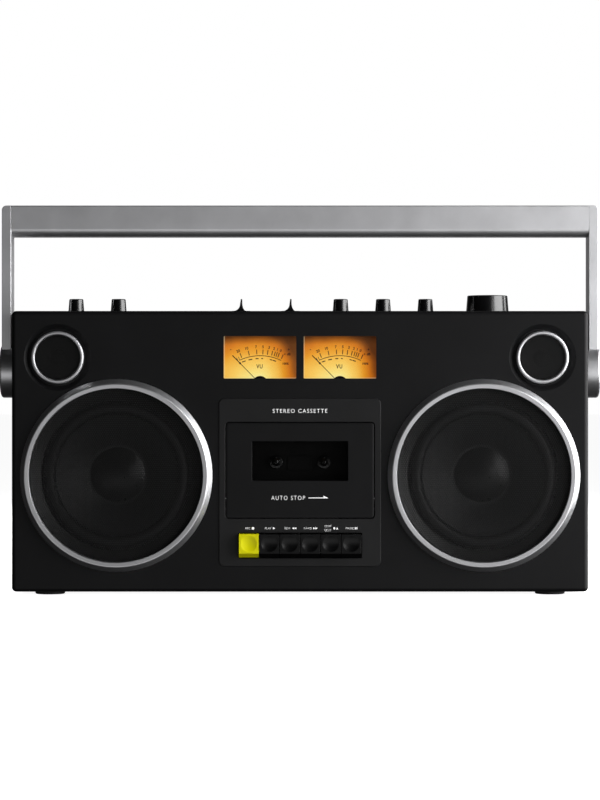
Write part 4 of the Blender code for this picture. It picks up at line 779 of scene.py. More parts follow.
# ---- Electronics ----
def main_board():
    """The upright board, with what stands on it as pieces of their own."""
    low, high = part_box("main_board")
    face = low.y + BOARD_THICKNESS
    board = plate(rectangle(high.x - low.x, high.z - low.z, mm), 0, BOARD_THICKNESS)
    stand_in("main_board", board, on(BACK, 0, low.y, (low.z + high.z) / 2), smooth=30)

    sink_low, sink_high = high.z - 30 * mm, high.z - 6 * mm
    sink_depth, fin, fin_pitch = 14 * mm, 2 * mm, 6
    plates = [box((low.x + 8 * mm, face, sink_low), (low.x + 58 * mm, face + 4 * mm, sink_high))]
    for x in range(8, 58, fin_pitch):
        left = low.x + x * mm
        plates.append(box((left, face + 3 * mm, sink_low), (left + fin, face + sink_depth, sink_high)))
    piece("heat_sink", combined(*plates), "steel", body="cabinet")

    left, right, bottom, top = low.x + 14 * mm, low.x + 54 * mm, low.z + 8 * mm, low.z + 40 * mm
    core = box((left, face + 3 * mm, bottom), (right, face + 12 * mm, top), 0.6 * mm)
    piece("transformer_core", core, "steel", body="cabinet")
    coil_low, coil_high = (left + 8 * mm, face, bottom + 4 * mm), (right - 8 * mm, face + 15 * mm, top - 4 * mm)
    coil = box(coil_low, coil_high, 2 * mm)
    piece("transformer_winding", coil, "copper", body="cabinet")

    mouth = REAR_Y - WALL - GAP
    middle = on(BACK, INLET_X, mouth, INLET_Z)
    inlet = rectangle(INLET_WIDTH, INLET_HEIGHT, INLET_HEIGHT / 2 - GAP)
    rim = 6 * mm
    outline = rectangle(INLET_WIDTH + rim, INLET_HEIGHT + rim, 1.5 * mm)
    socket = carve(plate(outline, face - mouth, 0, edge=FINE_EDGE), plate(inlet, -INLET_DEPTH, mm))
    piece("inlet_socket", socket, "deck_plastic", middle, body="cabinet")
    root, tip = -INLET_DEPTH - mm, -2 * mm
    profile = [(0, root), (1.2 * mm, root), (1.2 * mm, tip, 0.7 * mm), (0, tip)]
    pins = [moved(lathe(profile, 24), shifted(x)) for x in (-INLET_PIN_X, INLET_PIN_X)]
    piece("inlet_pins", combined(*pins), "turned_steel", middle, body="cabinet")


def control_board():
    low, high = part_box("control_board")
    face = low.z + BOARD_THICKNESS
    stand_in("control_board", box(low, (high.x, high.y, face)))
    half = 8 * mm
    cans = []
    for node in (*KNOBS, *SWITCHES):
        x = centre(node).x
        cans.append(box((x - half, MID_Y - half, face), (x + half, MID_Y + half, high.z), 0.8 * mm))
    piece("control_cans", combined(*cans), "steel", body="cabinet")


# ---- Speakers ----
def perforated(radius, pitch, hole, low, high, rim):
    """A disc of sheet with six-sided holes on a hexagonal lattice, and a plain rim round them."""
    bm = bmesh.new()
    known = {}

    def vert(x, y, z):
        key = (round(x * 1e7), round(y * 1e7), z)
        if key not in known:
            known[key] = bm.verts.new((x, y, z))
        return known[key]

    corners = arc(0, 0, 1, 30, 330, 5)
    outer_reach = pitch / math.sqrt(3)
    rows = int(radius / (0.75 * 2 * outer_reach)) + 1
    rim_edges = {}

    def quad(first, second, third, fourth):
        """A face through four points, each a pair of (x, y) and a height."""
        bm.faces.new([vert(*point, height) for point, height in (first, second, third, fourth)])

    for row in range(-rows, rows + 1):
        y = row * 1.5 * outer_reach
        for column in range(-rows * 2, rows * 2 + 1):
            x = (column + 0.5 * (row % 2)) * pitch
            if math.hypot(x, y) + outer_reach > radius - rim / 2:
                continue
            outer = [(x + outer_reach * cx, y + outer_reach * cy) for cx, cy in corners]
            inner = [(x + hole / 2 * cx, y + hole / 2 * cy) for cx, cy in corners]
            for k in range(6):
                n = (k + 1) % 6
                quad((outer[k], high), (outer[n], high), (inner[n], high), (inner[k], high))
                quad((inner[k], low), (inner[n], low), (outer[n], low), (outer[k], low))
                quad((inner[k], high), (inner[n], high), (inner[n], low), (inner[k], low))
                edge = frozenset((vert(*outer[k], high), vert(*outer[n], high)))
                rim_edges[edge] = None if edge in rim_edges else (outer[n], outer[k])
    for first, second in filter(None, rim_edges.values()):
        quad((first, high), (second, high), (second, low), (first, low))
    band = [(radius - rim, low), (radius, low, 0.1 * mm), (radius, high, 0.1 * mm), (radius - rim, high)]
    return combined(bm, lathe(band))


def woofer_ring(side):
    """The silver ring. Returns the radius of its opening."""
    node = f"{side}_woofer_ring"
    outer, proud, _ = reach(node)
    inner = outer - RING_WIDTH
    collar = inner + 1.5 * mm
    profile = [
        (inner, -COLLAR),
        (inner, proud - 0.2 * mm, 0.15 * mm),
        (inner + 3.9 * mm, proud, 1.8 * mm),
        (outer, 0.9 * mm, 0.8 * mm),
        (outer, GAP),
        (collar, GAP),
        (collar, -COLLAR),
    ]
    stand_in(node, lathe(profile, 192), on_face(node), "ring_aluminium", smooth=50)
    return inner


def woofer(side, grille_mesh=None):
    """One woofer. The second one's grille shares the first one's mesh, which this returns."""
    inner = woofer_ring(side)
    node = f"{side}_woofer_grille"
    if grille_mesh is None:
        grille_bm = perforated(inner - GAP, 2 * mm, 1.72 * mm, 0.4 * mm, 0.8 * mm, 1.2 * mm)
        grille = stand_in(node, grille_bm, on_face(node))
        grille.modifiers.clear()
        grille_mesh = grille.data
    else:
        grille = bpy.data.objects.new(f"{node}_visual", grille_mesh)
        bpy.context.scene.collection.objects.link(grille)
        grille.matrix_world = on_face(node)
        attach(grille, BODY_OF[node])
        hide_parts(node)
    woofer_frame(side)
    woofer_cone(side)
    return grille_mesh


def woofer_frame(side):
    """Pressed basket with four windows, a gasket step, and the magnet between two plates."""
    node = f"{side}_woofer_frame"
    flange, front, back = reach(node)
    lip = SURROUND_RADIUS + 0.8 * mm
    seat, bottom = front - 10.6 * mm, front - 42.6 * mm
    wall = BASKET_WALL
    basket = [
        (flange, front, 0.4 * mm),
        (76.4 * mm, front, 0.4 * mm),
        (lip, front - 5.2 * mm, mm),
        (lip, seat),
        (lip - 3.7 * mm, seat, mm),
        (34 * mm, bottom, 2 * mm),
        (0, bottom),
        (0, bottom - wall),
        (38.5 * mm, bottom - wall, 2 * mm),
        (lip + 2 * mm, seat - wall, 2 * mm),
        (lip + 3 * mm, front - 10 * mm, 2 * mm),
        (flange, front - 5 * mm, 0.6 * mm),
    ]
    windows = []
    for turn in (45, 135, 225, 315):
        outline = rectangle(66 * mm, 26 * mm, 6 * mm, x=66 * mm)
        windows.append(moved(plate(outline, bottom + 6.4 * mm, seat - 8 * mm), spun(turn)))
    stand_in(node, carve(lathe(basket), *windows), on_face(node), smooth=40)

    magnet, waist, rear_plate, front_plate = 42 * mm, 39 * mm, 38 * mm, bottom - 6.9 * mm
    motor = [
        (0, back),
        (rear_plate, back, mm),
        (rear_plate, back + 2.4 * mm),
        (magnet, back + 2.4 * mm, 1.2 * mm),
        (magnet, front_plate, 1.2 * mm),
        (waist, front_plate),
        (waist, bottom - 4.6 * mm, 0.8 * mm),
        (0, bottom - 4.6 * mm),
    ]
    piece(f"{side}_magnet", lathe(motor), "steel", on_face(node), body="cabinet")


def woofer_cone(side):
    """Half-roll surround, paper cone and dust cap."""
    node = f"{side}_woofer_cone"
    edge, cone, cap_radius, skin = SURROUND_RADIUS, CONE_RADIUS, CAP_RADIUS, 1.2 * mm
    rim = -10.2 * mm
    step = 0.4 * mm  # from the surround down to the cone
    roll = (edge - cone - 1.2 * mm) / 2
    middle = cone + step + roll
    neck = rim - 0.52 * (cone - cap_radius)
    flare = [
        (cone - (cone - cap_radius - mm) * t, rim - step + (neck - rim) * (0.72 * t + 0.28 * t * t))
        for t in (i / 10 for i in range(11))
    ]
    front = [(edge, rim), *arc(middle, rim, roll, 0, 180, 20), *flare]
    back = [(0, neck + skin), (0, neck + 4 * mm), (cap_radius, neck - 2 * skin)]
    back += [(x, y - 1.5 * skin) for x, y in flare[-3::-3]]
    back += [*arc(middle, rim - skin, roll - skin, 180, 0, 12), (edge, rim - skin)]
    stand_in(node, lathe(front + back), on_face(node), smooth=38)

    bend, bend_centre = 48.5 * mm, neck - 42 * mm
    start = math.degrees(math.acos(cap_radius / bend))
    cap = arc(0, bend_centre, bend, start, 90, 16)[:-1] + [(0, bend_centre + bend)]
    cap += [(0, neck + 2 * skin), (cap_radius - 3 * skin, neck - skin), (cap_radius - skin, neck - 2 * skin)]
    name, body = f"{side}_dust_cap", BODY_OF[node]
    piece(name, lathe(cap), "cap_film", on_face(node), body=body, smooth=38)


def tweeter(side):
    node = f"{side}_tweeter_ring"
    outer, _, back = reach(node)
    inner = outer - BEAD_WIDTH
    profile = [(inner, back), (inner, mm, 1.2 * mm), (outer, mm, 1.9 * mm), (outer, back)]
    stand_in(node, lathe(profile, steps=10), on_face(node), "bead_aluminium", smooth=50)

    node = f"{side}_tweeter"
    sheet = perforated(inner - GAP, 1.35 * mm, mm, -1.15 * mm, -0.8 * mm, 0.8 * mm)
    name, slot = f"{side}_tweeter_mesh", "speaker_mesh"
    mesh = piece(name, sheet, slot, on_face(node), body="cabinet")
    mesh.modifiers.clear()
    flange, _, rear = reach(node)
    flange_front, flange_back, magnet = -4.6 * mm, -7.6 * mm, 18 * mm
    unit = [(0, -4 * mm), *arc(0, -12.2 * mm, 8.2 * mm, 90, 25, 14), (8.6 * mm, -8.6 * mm)]
    unit += [
        (inner - 1.5 * mm, -5.5 * mm, mm),
        (inner - GAP, flange_front),
        (flange, flange_front, 0.4 * mm),
        (flange, flange_back, 0.4 * mm),
        (magnet, flange_back),
        (magnet, rear, mm),
        (0, rear),
    ]
    stand_in(node, lathe(unit, 96), on_face(node), "dome_film", smooth=40)


# ---- Level meters ----
def meter(side):
    node = f"{side}_meter"
    low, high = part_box(node)
    middle = on(FRONT, (low.x + high.x) / 2, FACE_Y, METER_Z)
    half, front, _ = reach(node)
    top, bottom = high.z - METER_Z, low.z - METER_Z
    sheet_back, case_back, coil_back = front - 0.5 * mm, front - 24 * mm, front - 32 * mm
    case = box((-half, bottom, case_back), (half, top, sheet_back), 1.2 * mm)
    coil_radius, coil_front = 11 * mm, case_back + mm
    coil = [(0, coil_back), (coil_radius, coil_back, mm), (coil_radius, coil_front), (0, coil_front)]
    stand_in(node, combined(case, lathe(coil)), middle, "deck_plastic")
    outline = rectangle(2 * half - mm, top - bottom - mm, 0.5 * mm, y=(top + bottom) / 2)
    slot = "lit_dial"
    piece(f"{side}_dial", plate(outline, sheet_back, front), slot, middle, body="cabinet")
    printed = on(FRONT, (low.x + high.x) / 2, low.y - PRINT / 2, METER_Z)
    piece(f"{side}_dial_print", dial_print(), "dial_ink", printed, body="cabinet")


def dial_print():
    """The level scale: one arc, its ticks and figures, a row of dashes under it, and the unit."""
    radius, base, line = SCALE_RADIUS, SCALE_BASE, 0.6 * mm
    start, end = 90 - SCALE_END, 90 + SCALE_END
    band = arc(0, base, radius + line / 2, start, end, 48)
    band += arc(0, base, radius - line / 2, end, start, 48)
    marks = [mark(band)]

    def radial(shape, x, rise):
        """Puts a mark at this x and this far outside the arc, leaning with the arc."""
        lean = math.degrees(math.asin(x / (radius + rise)))
        return at(shape, x, base + (radius + rise) * math.cos(math.radians(lean)), -lean)

    # Positions along the scale, and the lengths of the dashes, are in mm
    weight = 0.09 * mm
    for x in (-17, -10, -3, 2.5, 6.7, 10.6, 12.9, 14.6, 16.3, 19.6):
        marks.append(radial(mark(rectangle(0.72 * mm, 4.2 * mm)), x * mm, 3.4 * mm))
    for x in (-20.3, -18.7):
        marks.append(radial(mark(rectangle(0.5 * mm, 2.6 * mm)), x * mm, 1.8 * mm))
    figures = zip(("20", "10", "7", "5", "3", "2", "1", "0"), (-19.4, -11.8, -3.6, 2.6, 8, 12.4, 15.4, 18.3))
    for words, x in figures:
        marks.append(radial(text(words, 2.4 * mm, weight=weight), x * mm, 7.9 * mm))
    for x, long in ((-14.4, 3.4), (-8.6, 3.4), (-2.7, 2.6), (1.8, 1.6), (9.6, 2.2), (12.6, 3.2)):
        marks.append(radial(mark(rectangle(long * mm, 0.85 * mm)), x * mm, -2.5 * mm))
    captions = (("-", -26, 6.8, 3), ("+", 25.3, 7, 2.6), ("+ dB", 24, 2.9, 2.2), ("100%", 22.6, -5.5, 1.9))
    for words, x, y, height in captions:
        marks.append(at(text(words, height * mm, weight=weight), x * mm, y * mm))
    marks.append(at(text("VU", 3.6 * mm, 5.5 * mm, 0.14 * mm, 1.2), -0.6 * mm, -8 * mm))
    return combined(*marks)


def meter_needle(side):
    """Pointer with a dark bead on it, and the hub that hides its root."""
    node = f"{side}_meter_needle"
    low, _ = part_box(node)
    _, front, back = reach(node)
    hub_radius = 6.9 * mm
    pivot = on(FRONT, centre(f"{side}_meter").x, FACE_Y, low.z + hub_radius)
    hub = [(0, back), (hub_radius, back, 0.2 * mm), (hub_radius, front, 0.6 * mm), (0, front)]
    half, tip, bead_at = 0.3 * mm, 35 * mm, 25.2 * mm
    past = 1.4 * half  # the pointer is a little wider past its bead
    stem = [(half, 3 * mm), (half, bead_at), (past, bead_at), (past, tip)]
    stem = [(-half, 3 * mm), *stem, (-past, tip), (-past, bead_at), (-half, bead_at)]
    pointer = plate(stem, back + 0.4 * mm, back + 0.8 * mm, edge=0.08 * mm)
    bead = rectangle(1.7 * mm, 1.7 * mm, 0.6 * mm, y=bead_at)
    bead = plate(bead, back + 0.3 * mm, back + mm, edge=0.1 * mm)
    rest = spun(NEEDLE_REST)
    stand_in(node, combined(lathe(hub, 96), moved(pointer, rest), moved(bead, rest)), pivot)


def flat_pane(node, radius):
    """A window pane: the node's own outline with round corners and softened edges."""
    low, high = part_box(node)
    _, front, back = reach(node)
    sheet = plate(rectangle(high.x - low.x, high.z - low.z, radius), back, front, edge=0.2 * mm)
    stand_in(node, sheet, on_face(node))


# ---- Deck ----
def widened(low, high, by, radius, y=0.0):
    """The outline of a box seen from the front, larger by this much at each side."""
    return rectangle(high.x - low.x + 2 * by, high.z - low.z + 2 * by, radius, y=y)


def deck_panel():
    low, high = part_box("deck_panel")
    _, proud, back = reach("deck_panel")
    door = widened(*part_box("cassette_door"), SLIDE_GAP, 3 * mm, DOOR_Z - DECK_Z)
    keys_low, keys_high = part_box("record_key")[0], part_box("pause_key")[1]
    keys_z = (keys_low.z + keys_high.z) / 2 - DECK_Z
    keys = widened(keys_low, keys_high, SLIDE_GAP, OPENING_RADIUS, keys_z)
    rim = 0.25 * mm
    front = widened(low, high, rim - DECK_FLANGE, DECK_RADIUS)
    panel = plate(front, back + 0.5 * mm, proud, (door, keys), 0.5 * mm)
    flange = plate(widened(low, high, 0, 6 * mm), back, back + 1.9 * mm, (door, keys))
    stand_in("deck_panel", combined(panel, flange), on_face("deck_panel"))
    deck_legends(proud)


def deck_legends(proud):
    """White legends on the panel: the maker's place holds plain words, and each key has its own."""
    place = on(FRONT, 0, FACE_Y - proud, 0)
    marks = [at(text("STEREO CASSETTE", 3.6 * mm, 48 * mm, -0.04 * mm, 1.25), 0, 162.4 * mm)]
    height, line, weight = 1.9 * mm, 59.1 * mm, -0.04 * mm
    small = 1.9 * mm

    def twin(direction):
        return [[(x + shift, y) for x, y in triangle(small, direction)] for shift in (-small / 2, small / 2)]

    record = [arc(0, 0, 1.15 * mm, 0, 345, 23)]
    tooth = [(0.5 * mm, -0.9 * mm), (2.3 * mm, -0.9 * mm), (1.4 * mm, 0.9 * mm)]
    eject = [rectangle(1.5 * mm, small, x=-1.1 * mm), tooth]
    bars = [rectangle(0.8 * mm, small, x=x * mm) for x in (-0.7, 0.7)]
    # For each key: its lines of words, their width and offset in mm, its symbol, and its offset
    legends = {
        "record": (("REC",), 4.2, -0.9, record, 3.6),
        "play": (("PLAY",), 5.6, -0.9, [triangle(2 * mm, 1)], 4.2),
        "rewind": (("REW",), 5.0, -1.9, twin(-1), 3.9),
        "fast_forward": (("F.FWD",), 6.8, -2.1, twin(1), 4.5),
        "stop_eject": (("STOP", "EJECT"), 6.0, -2.4, eject, 4.3),
        "pause": (("PAUSE",), 6.9, -1.35, bars, 4.35),
    }
    for key, (lines, wide, shift, symbol, aside) in legends.items():
        x = centre(f"{key}_key").x
        for i, word in enumerate(lines):
            rise = (len(lines) - 1) * (0.5 - i) * 3.7 * mm
            marks.append(at(text(word, height, wide * mm, weight), x + shift * mm, line + rise))
        marks += [at(mark(shape), x + aside * mm, line) for shape in symbol]
    piece("deck_legends", combined(*marks), "white_ink", place, body="cabinet")


def cassette_door():
    node = "cassette_door"
    low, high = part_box(node)
    _, proud, back = reach(node)
    step, chamfer = 0.15 * mm, 2.2 * mm
    rings = [
        (widened(low, high, 0, 2.6 * mm), back),
        (widened(low, high, 0, 2.6 * mm), proud - 0.75 * mm),
        (widened(low, high, -step, 2.5 * mm), proud - 0.55 * mm),
        (widened(low, high, -chamfer, 1.2 * mm), proud),
    ]
    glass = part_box("door_window")
    rim, shift = 0.2 * mm, WINDOW_Z - DOOR_Z
    hole = widened(*glass, GAP, OPENING_RADIUS, shift)
    wider = widened(*glass, GAP + rim, mm, shift)
    reveal = loft([(hole, proud - rim), (wider, proud), (wider, proud + mm)])
    leaf = carve(loft(rings), plate(hole, back - mm, proud + mm), reveal)
    stand_in(node, leaf, on_face(node), "door_plastic", smooth=20)
    flat_pane("door_window", 0.6 * mm)
    legend = text("AUTO STOP", 3.9 * mm, 29.6 * mm, -0.07 * mm, 1.3)
    root, tip, half = 7.5 * mm, 25.2 * mm, 0.3 * mm
    head = [(tip, -0.35 * mm), (20.6 * mm, 1.9 * mm), (20.9 * mm, half)]
    words = combined(at(legend, -10.4 * mm, 0), mark([(root, -0.35 * mm), *head, (root, half)]))
    place = on(FRONT, 0, FACE_Y - proud, 85.9 * mm)
    piece("door_legend", words, "white_ink", place, body="door")


def key(node):
    """Piano key: a square face with a round dish in it, and a slope under the face."""
    low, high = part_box(node)
    wide, tall, long, proud = high.x - low.x, high.z - low.z, high.y - FACE_Y, FACE_Y - low.y
    facet, corner = 3.6 * mm, 0.5 * mm
    side_view = rounded([
        (-long, -tall / 2),
        (1.5 * mm, -tall / 2, corner),
        (proud, facet - tall / 2, corner),
        (proud, tall / 2, corner),
        (-long, tall / 2),
    ])
    middle = (low + high) / 2
    body = plate(side_view, -wide / 2, wide / 2, edge=0.25 * mm)
    body = moved(body, on(PROFILE, middle.x, FACE_Y, middle.z))
    dish_radius, depth = 7.3 * mm, 1.2 * mm
    sphere = (dish_radius**2 + depth**2) / (2 * depth)
    end = math.degrees(math.asin(dish_radius / sphere))
    bowl = arc(0, proud + sphere - depth, sphere, -90, -90 + 1.1 * end, 14)
    cutter = lathe([*bowl, (bowl[-1][0], proud + 2 * mm), (0, proud + 2 * mm)], 96)
    cutter = moved(cutter, on(FRONT, middle.x, FACE_Y, high.z - (tall - facet) / 2))
    finish = "yellow_key" if SLOT_OF[node] == "yellow_key" else "key_plastic"
    stand_in(node, carve(body, cutter), finish=finish, smooth=24)


# ---- Transport ----
def spindle(node):
    _, tip, back = reach(node)
    base = back + 3.4 * mm
    stub, flange, shaft = 2 * mm, 6 * mm, 3.4 * mm
    profile = [
        (0, back),
        (stub, back, 0.3 * mm),
        (stub, base),
        (flange, base, 0.2 * mm),
        (flange, base + 1.4 * mm, 0.5 * mm),
        (shaft, base + 1.8 * mm, 0.4 * mm),
        (shaft, tip - 1.8 * mm, 0.6 * mm),
        (1.5 * mm, tip, 0.8 * mm),
        (0, tip),
    ]
    fins = []
    for turn in (90, 210, 330):
        outline = rectangle(3 * mm, 1.2 * mm, 0.4 * mm, x=3.7 * mm)
        fins.append(moved(plate(outline, base + mm, tip - 2 * mm, edge=0.3 * mm), spun(turn)))
    stand_in(node, combined(lathe(profile, SMALL_ROUND), *fins), on_face(node), "gloss_black")


def turned_part(node, profile, segments=ROUND, finish="turned_steel"):
    """A turned piece of the transport, from a closed profile in face coordinates."""
    stand_in(node, lathe(profile, segments), on_face(node), finish)


def transport():
    for node in ("supply_spindle", "takeup_spindle"):
        spindle(node)
    keep("deck_chassis", "inner_plastic")
    keep("cassette_holder", "inner_plastic")
    keep("head_plate")
    keep("drive_belt")

    radius, tip, back = reach("capstan_flywheel")
    rear, front = back + 2 * mm, back + 9 * mm
    web, capstan = front - 1.6 * mm, 1.2 * mm
    wheel = [
        (0, back),
        (4 * mm, back, 0.5 * mm),
        (4 * mm, rear),
        (radius, rear, 0.5 * mm),
        (radius, front, 0.5 * mm),
        (radius - 4 * mm, front, 0.4 * mm),
        (radius - 5 * mm, web, 0.4 * mm),
        (7 * mm, web, 0.4 * mm),
        (5 * mm, front, 0.4 * mm),
        (3 * mm, front),
        (3 * mm, front + 2 * mm, 0.4 * mm),
        (capstan, front + 2 * mm),
        (capstan, tip, 0.4 * mm),
        (0, tip),
    ]
    turned_part("capstan_flywheel", wheel)

    radius, front, back = reach("drive_motor")
    boss, neck = 6 * mm, radius - 0.7 * mm
    rear, shoulder = back + 1.2 * mm, front - 3 * mm
    can = [
        (0, back),
        (boss, back, 0.5 * mm),
        (boss, rear),
        (radius, rear, 2 * mm),
        (radius, shoulder, 0.3 * mm),
        (neck, shoulder),
        (neck, front, 1.2 * mm),
        (0, front),
    ]
    turned_part("drive_motor", can, 96)

    rim, tip, back = reach("motor_pulley")
    groove, low_side, high_side = rim - mm, tip - 5.6 * mm, tip - 4.6 * mm
    pulley = [
        (0, back),
        (mm, back),
        (mm, low_side),
        (rim, low_side, 0.2 * mm),
        (rim, high_side, 0.2 * mm),
        (groove, high_side),
        (groove, tip, 0.3 * mm),
        (0, tip),
    ]
    turned_part("motor_pulley", pulley, 48)

    radius, tip, back = reach("pinch_roller")
    bore = 1.5 * mm
    roller = [(bore, back), (radius, back, 0.5 * mm), (radius, tip, 0.5 * mm), (bore, tip)]
    turned_part("pinch_roller", roller, SMALL_ROUND, None)

    low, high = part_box("tape_head")
    head = box(low, high, 2 * mm, lambda edge: along(edge, 1) and edge.verts[0].co.z > high.z - GAP, 8)
    half, groove_x, groove_z = 0.25 * mm, 1.5 * mm, high.z - 0.3 * mm
    grooves = [
        box((x - half, low.y - mm, groove_z), (x + half, high.y + mm, high.z + mm)) for x in (-groove_x, groove_x)
    ]
    stand_in("tape_head", carve(head, *grooves), smooth=24)


# ---- Top controls ----
def knob(node):
    """Tapered knob with a shallow crown, and a white line on it that points to the back."""
    low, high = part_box(node)
    radius, height, stem_end = (high.x - low.x) / 2, high.z - TOP, low.z - TOP
    crown = radius - 0.075 * height
    sink = height - 0.35 * mm
    profile = [
        (0, stem_end),
        (STEM_RADIUS, stem_end),
        (STEM_RADIUS, 2 * GAP),
        (radius, 2 * GAP, 0.3 * mm),
        (crown, height, 0.9 * mm),
        (0.62 * crown, sink, 3 * mm),
        (0, sink),
    ]
    x = (low.x + high.x) / 2
    stand_in(node, lathe(profile, 96, 8), on(UP, x, MID_Y, TOP))
    line = mark(rectangle(0.9 * mm, 0.42 * crown, 0.4 * mm, y=-0.28 * crown))
    place = on(UP, x, MID_Y, TOP + sink)
    piece(f"{node}_line", line, "white_ink", place, body=BODY_OF[node])


def switch_cap(node):
    """Slide cap: a thin finger blade that sweeps down into its base, further on the left."""
    low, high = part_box(node)
    half, height, stem_end = (high.x - low.x) / 2, high.z - TOP, low.z - TOP
    base, blade, foot = 1.8 * mm, 0.95 * mm, 2 * GAP
    rise = height - base
    left = half - blade - 1.2 * mm
    right = 0.6 * left
    quarter = [math.radians(90 * i / 14) for i in range(15)]

    def sweep(side, run, top):
        return [(side * (blade + run * (1 - math.sin(a))), base + top * (1 - math.cos(a))) for a in quarter]

    tip = 0.5 * mm
    outline = [(half, foot), (half, base), *sweep(1, right, 0.75 * rise)]
    outline += rounded([(blade, base + 0.75 * rise), (blade, height, tip), (-blade, height, tip)])[1:]
    outline += [*sweep(-1, left, 0.6 * rise)[::-1], (-half, base), (-half, foot)]
    deep = (high.y - low.y) / 2
    cap = plate(outline, -deep, deep, edge=0.3 * mm)
    thick = STEM_RADIUS / 2
    stem = box((-thick, stem_end, -thick), (thick, 2 * mm, thick))
    stand_in(node, combined(cap, stem), on(FRONT, (low.x + high.x) / 2, MID_Y, TOP))


# ---- Handle ----
def soften(bm, edges, width):
    bmesh.ops.bevel(bm, geom=edges, offset=width, segments=4, profile=0.5, affect="EDGES")


def sharp(edge):
    return len(edge.link_faces) == 2 and edge.calc_face_angle() > math.radians(50)


def handle():
    """The grip, which meets both arms, and for each side an arm and its hub."""
    low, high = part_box("handle_grip")

    def lower(edge):
        return along(edge, 0) and edge.verts[0].co.z < low.z + GAP

    low, high = low + Vector((-GAP, 0, 0.8 * mm)), high + Vector((GAP, 0, 0))
    grip = box(low, high, 7 * mm, lower, 10)
    soften(grip, [edge for edge in grip.edges if sharp(edge) and along(edge, 0)], 0.9 * mm)
    stand_in("handle_grip", grip)
    for side, direction in (("left", -1), ("right", 1)):
        node = f"handle_{side}_arm"
        low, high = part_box(node)
        outer = high.x if direction > 0 else low.x

        def corner(edge, outer=outer, top=high.z):
            here = edge.verts[0].co
            return along(edge, 1) and here.z > top - GAP and abs(here.x - outer) < GAP

        arm = box(low, high, 4.3 * mm, corner, 10)
        soften(arm, [edge for edge in arm.edges if sharp(edge)], 0.45 * mm)
        stand_in(node, arm)
        hub(side, direction, low, high)


def hub(side, direction, arm_low, arm_high):
    """Turned hub with a ring groove in its cap, slotted for the arm."""
    node = f"{side}_pivot_hub"
    low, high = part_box(node)
    radius = (high.z - low.z) / 2
    root, tip = sorted((abs(low.x), abs(high.x)))
    rim, seat = tip - mm, SIDE + 2 * GAP
    profile = [
        (0, root),
        (PIVOT_RADIUS, root, 0.5 * mm),
        (PIVOT_RADIUS, seat),
        (radius, seat, 0.6 * mm),
        (radius, rim, 2.4 * mm),
        (radius - 5 * mm, rim + 0.4 * mm, 2 * mm),
        (radius - 5.6 * mm, rim - 0.3 * mm, 0.3 * mm),
        (radius - 6.4 * mm, rim + 0.5 * mm, 0.5 * mm),
        (0, tip),
    ]
    place = on(RIGHT if direction > 0 else LEFT, 0, MID_Y, PIVOT_Z)
    room = Vector((GAP, GAP, GAP))
    slot_high = arm_high + room
    slot_high.z = PIVOT_Z + radius + mm
    turned = carve(moved(lathe(profile), place), box(arm_low - room, slot_high))
    stand_in(node, turned, finish="hub_aluminium", smooth=30)


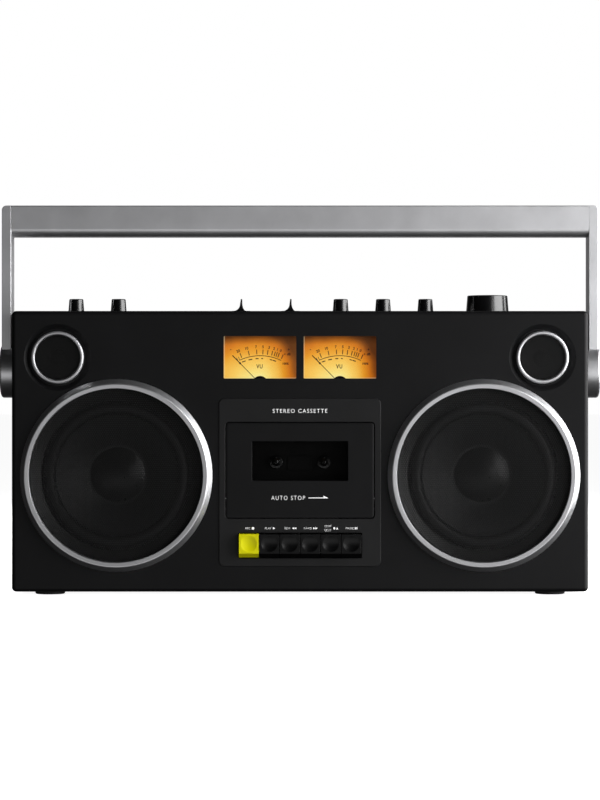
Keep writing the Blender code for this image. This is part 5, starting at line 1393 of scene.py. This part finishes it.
# ---- Studio ----
def studio():
    """Pale floor, a band of light below the horizon in front, and soft lamps at the right and behind."""
    grid = bmesh.new()
    bmesh.ops.create_grid(grid, x_segments=1, y_segments=1, size=30)
    mesh = bpy.data.meshes.new("floor")
    grid.to_mesh(mesh)
    grid.free()
    floor = bpy.data.objects.new("floor", mesh)
    bpy.context.scene.collection.objects.link(floor)
    paint = Paint("studio_floor", (0.9, 0.9, 0.9), 0.8)
    paint.shades(paint.noise(0.4, 2), 0.01)
    paint.set(paint.shader, {"Emission Color": (1, 1, 1, 1), "Emission Strength": 0.93})
    mesh.materials.append(paint.material)
    floor.visible_diffuse = False
    floor.visible_glossy = False
    floor.visible_shadow = False

    world = bpy.data.worlds.new("studio")
    world.use_nodes = True
    bpy.context.scene.world = world
    tree = world.node_tree
    background = tree.nodes["Background"]

    def add(kind, values, **settings):
        node = tree.nodes.new(kind)
        for name, value in settings.items():
            setattr(node, name, value)
        for key, value in values.items():
            if isinstance(value, bpy.types.NodeSocket):
                tree.links.new(value, node.inputs[key])
            else:
                node.inputs[key].default_value = value
        return node.outputs

    def slope(value, start, end):
        """Rises smoothly from 0 to 1 as a direction goes from start to end."""
        limits = {"From Min": start, "From Max": end}
        return add("ShaderNodeMapRange", {"Value": value, **limits}, interpolation_type="SMOOTHSTEP")[0]

    def maths(operation, first, second):
        return add("ShaderNodeMath", {0: first, 1: second}, operation=operation)[0]

    way = add("ShaderNodeTexCoord", {})["Generated"]
    _, forward, height = list(add("ShaderNodeSeparateXYZ", {0: way}))
    ahead = slope(forward, -0.5, -0.86)
    under = maths("MULTIPLY", slope(height, -0.02, -0.16), slope(height, -0.62, -0.4))
    front = maths("MULTIPLY", maths("MULTIPLY", ahead, under), FRONT_LIGHT)
    behind = maths("MULTIPLY", slope(forward, 0.8, 0.97), BACK_LIGHT)
    glow = maths("ADD", maths("ADD", front, behind), AMBIENT_LIGHT)
    seen = add("ShaderNodeLightPath", {})["Is Camera Ray"]
    strength = add("ShaderNodeMix", {0: seen, 2: glow, 3: 1.0})[0]
    background.inputs["Color"].default_value = (1, 1, 1, 1)
    tree.links.new(strength, background.inputs["Strength"])

    softbox("key_softbox", (1.15, -0.25, 0.42), 1.7, 1.1, 39)
    softbox("fill_softbox", (1.2, -2.05, 0.34), 0.35, 0.5, 4)
    softbox("rear_softbox", (-0.9, 1.5, 0.8), 1.0, 0.8, 30).visible_glossy = False
    softbox("rear_right_softbox", (1.0, 1.6, 0.6), 1.0, 0.8, 18).visible_glossy = False


def softbox(name, place, wide, tall, watts):
    """A lamp that faces the middle of the player, and that the camera doesn't see."""
    lamp = bpy.data.lights.new(name, "AREA")
    lamp.shape = "RECTANGLE"
    lamp.size = wide
    lamp.size_y = tall
    lamp.energy = watts
    obj = bpy.data.objects.new(name, lamp)
    bpy.context.scene.collection.objects.link(obj)
    obj.location = place
    obj.rotation_euler = (Vector(LIT_PLACE) - Vector(place)).to_track_quat("-Z", "Y").to_euler()
    obj.visible_camera = False
    return obj


def camera():
    lens = bpy.data.cameras.new("camera")
    lens.lens = 122.7
    lens.sensor_width = 36
    lens.clip_end = 100
    obj = bpy.data.objects.new("camera", lens)
    bpy.context.scene.collection.objects.link(obj)
    obj.location = (0, FACE_Y - VIEW_DISTANCE, VIEW_HEIGHT)
    obj.rotation_euler = (math.pi / 2, 0, 0)
    bpy.context.scene.camera = obj


def player():
    front_baffle()
    rear_cabinet()
    battery()
    feet()
    main_board()
    control_board()
    grille = woofer("left")
    woofer("right", grille)
    for side in ("left", "right"):
        tweeter(side)
        meter(side)
        meter_needle(side)
    flat_pane("meter_window", mm)
    deck_panel()
    cassette_door()
    for name in ("record", "play", "rewind", "fast_forward", "stop_eject", "pause"):
        key(f"{name}_key")
    transport()
    for node in KNOBS:
        knob(node)
    for node in SWITCHES:
        switch_cap(node)
    handle()


camera()
player()
studio()
bpy.context.scene.view_settings.view_transform = "Standard"
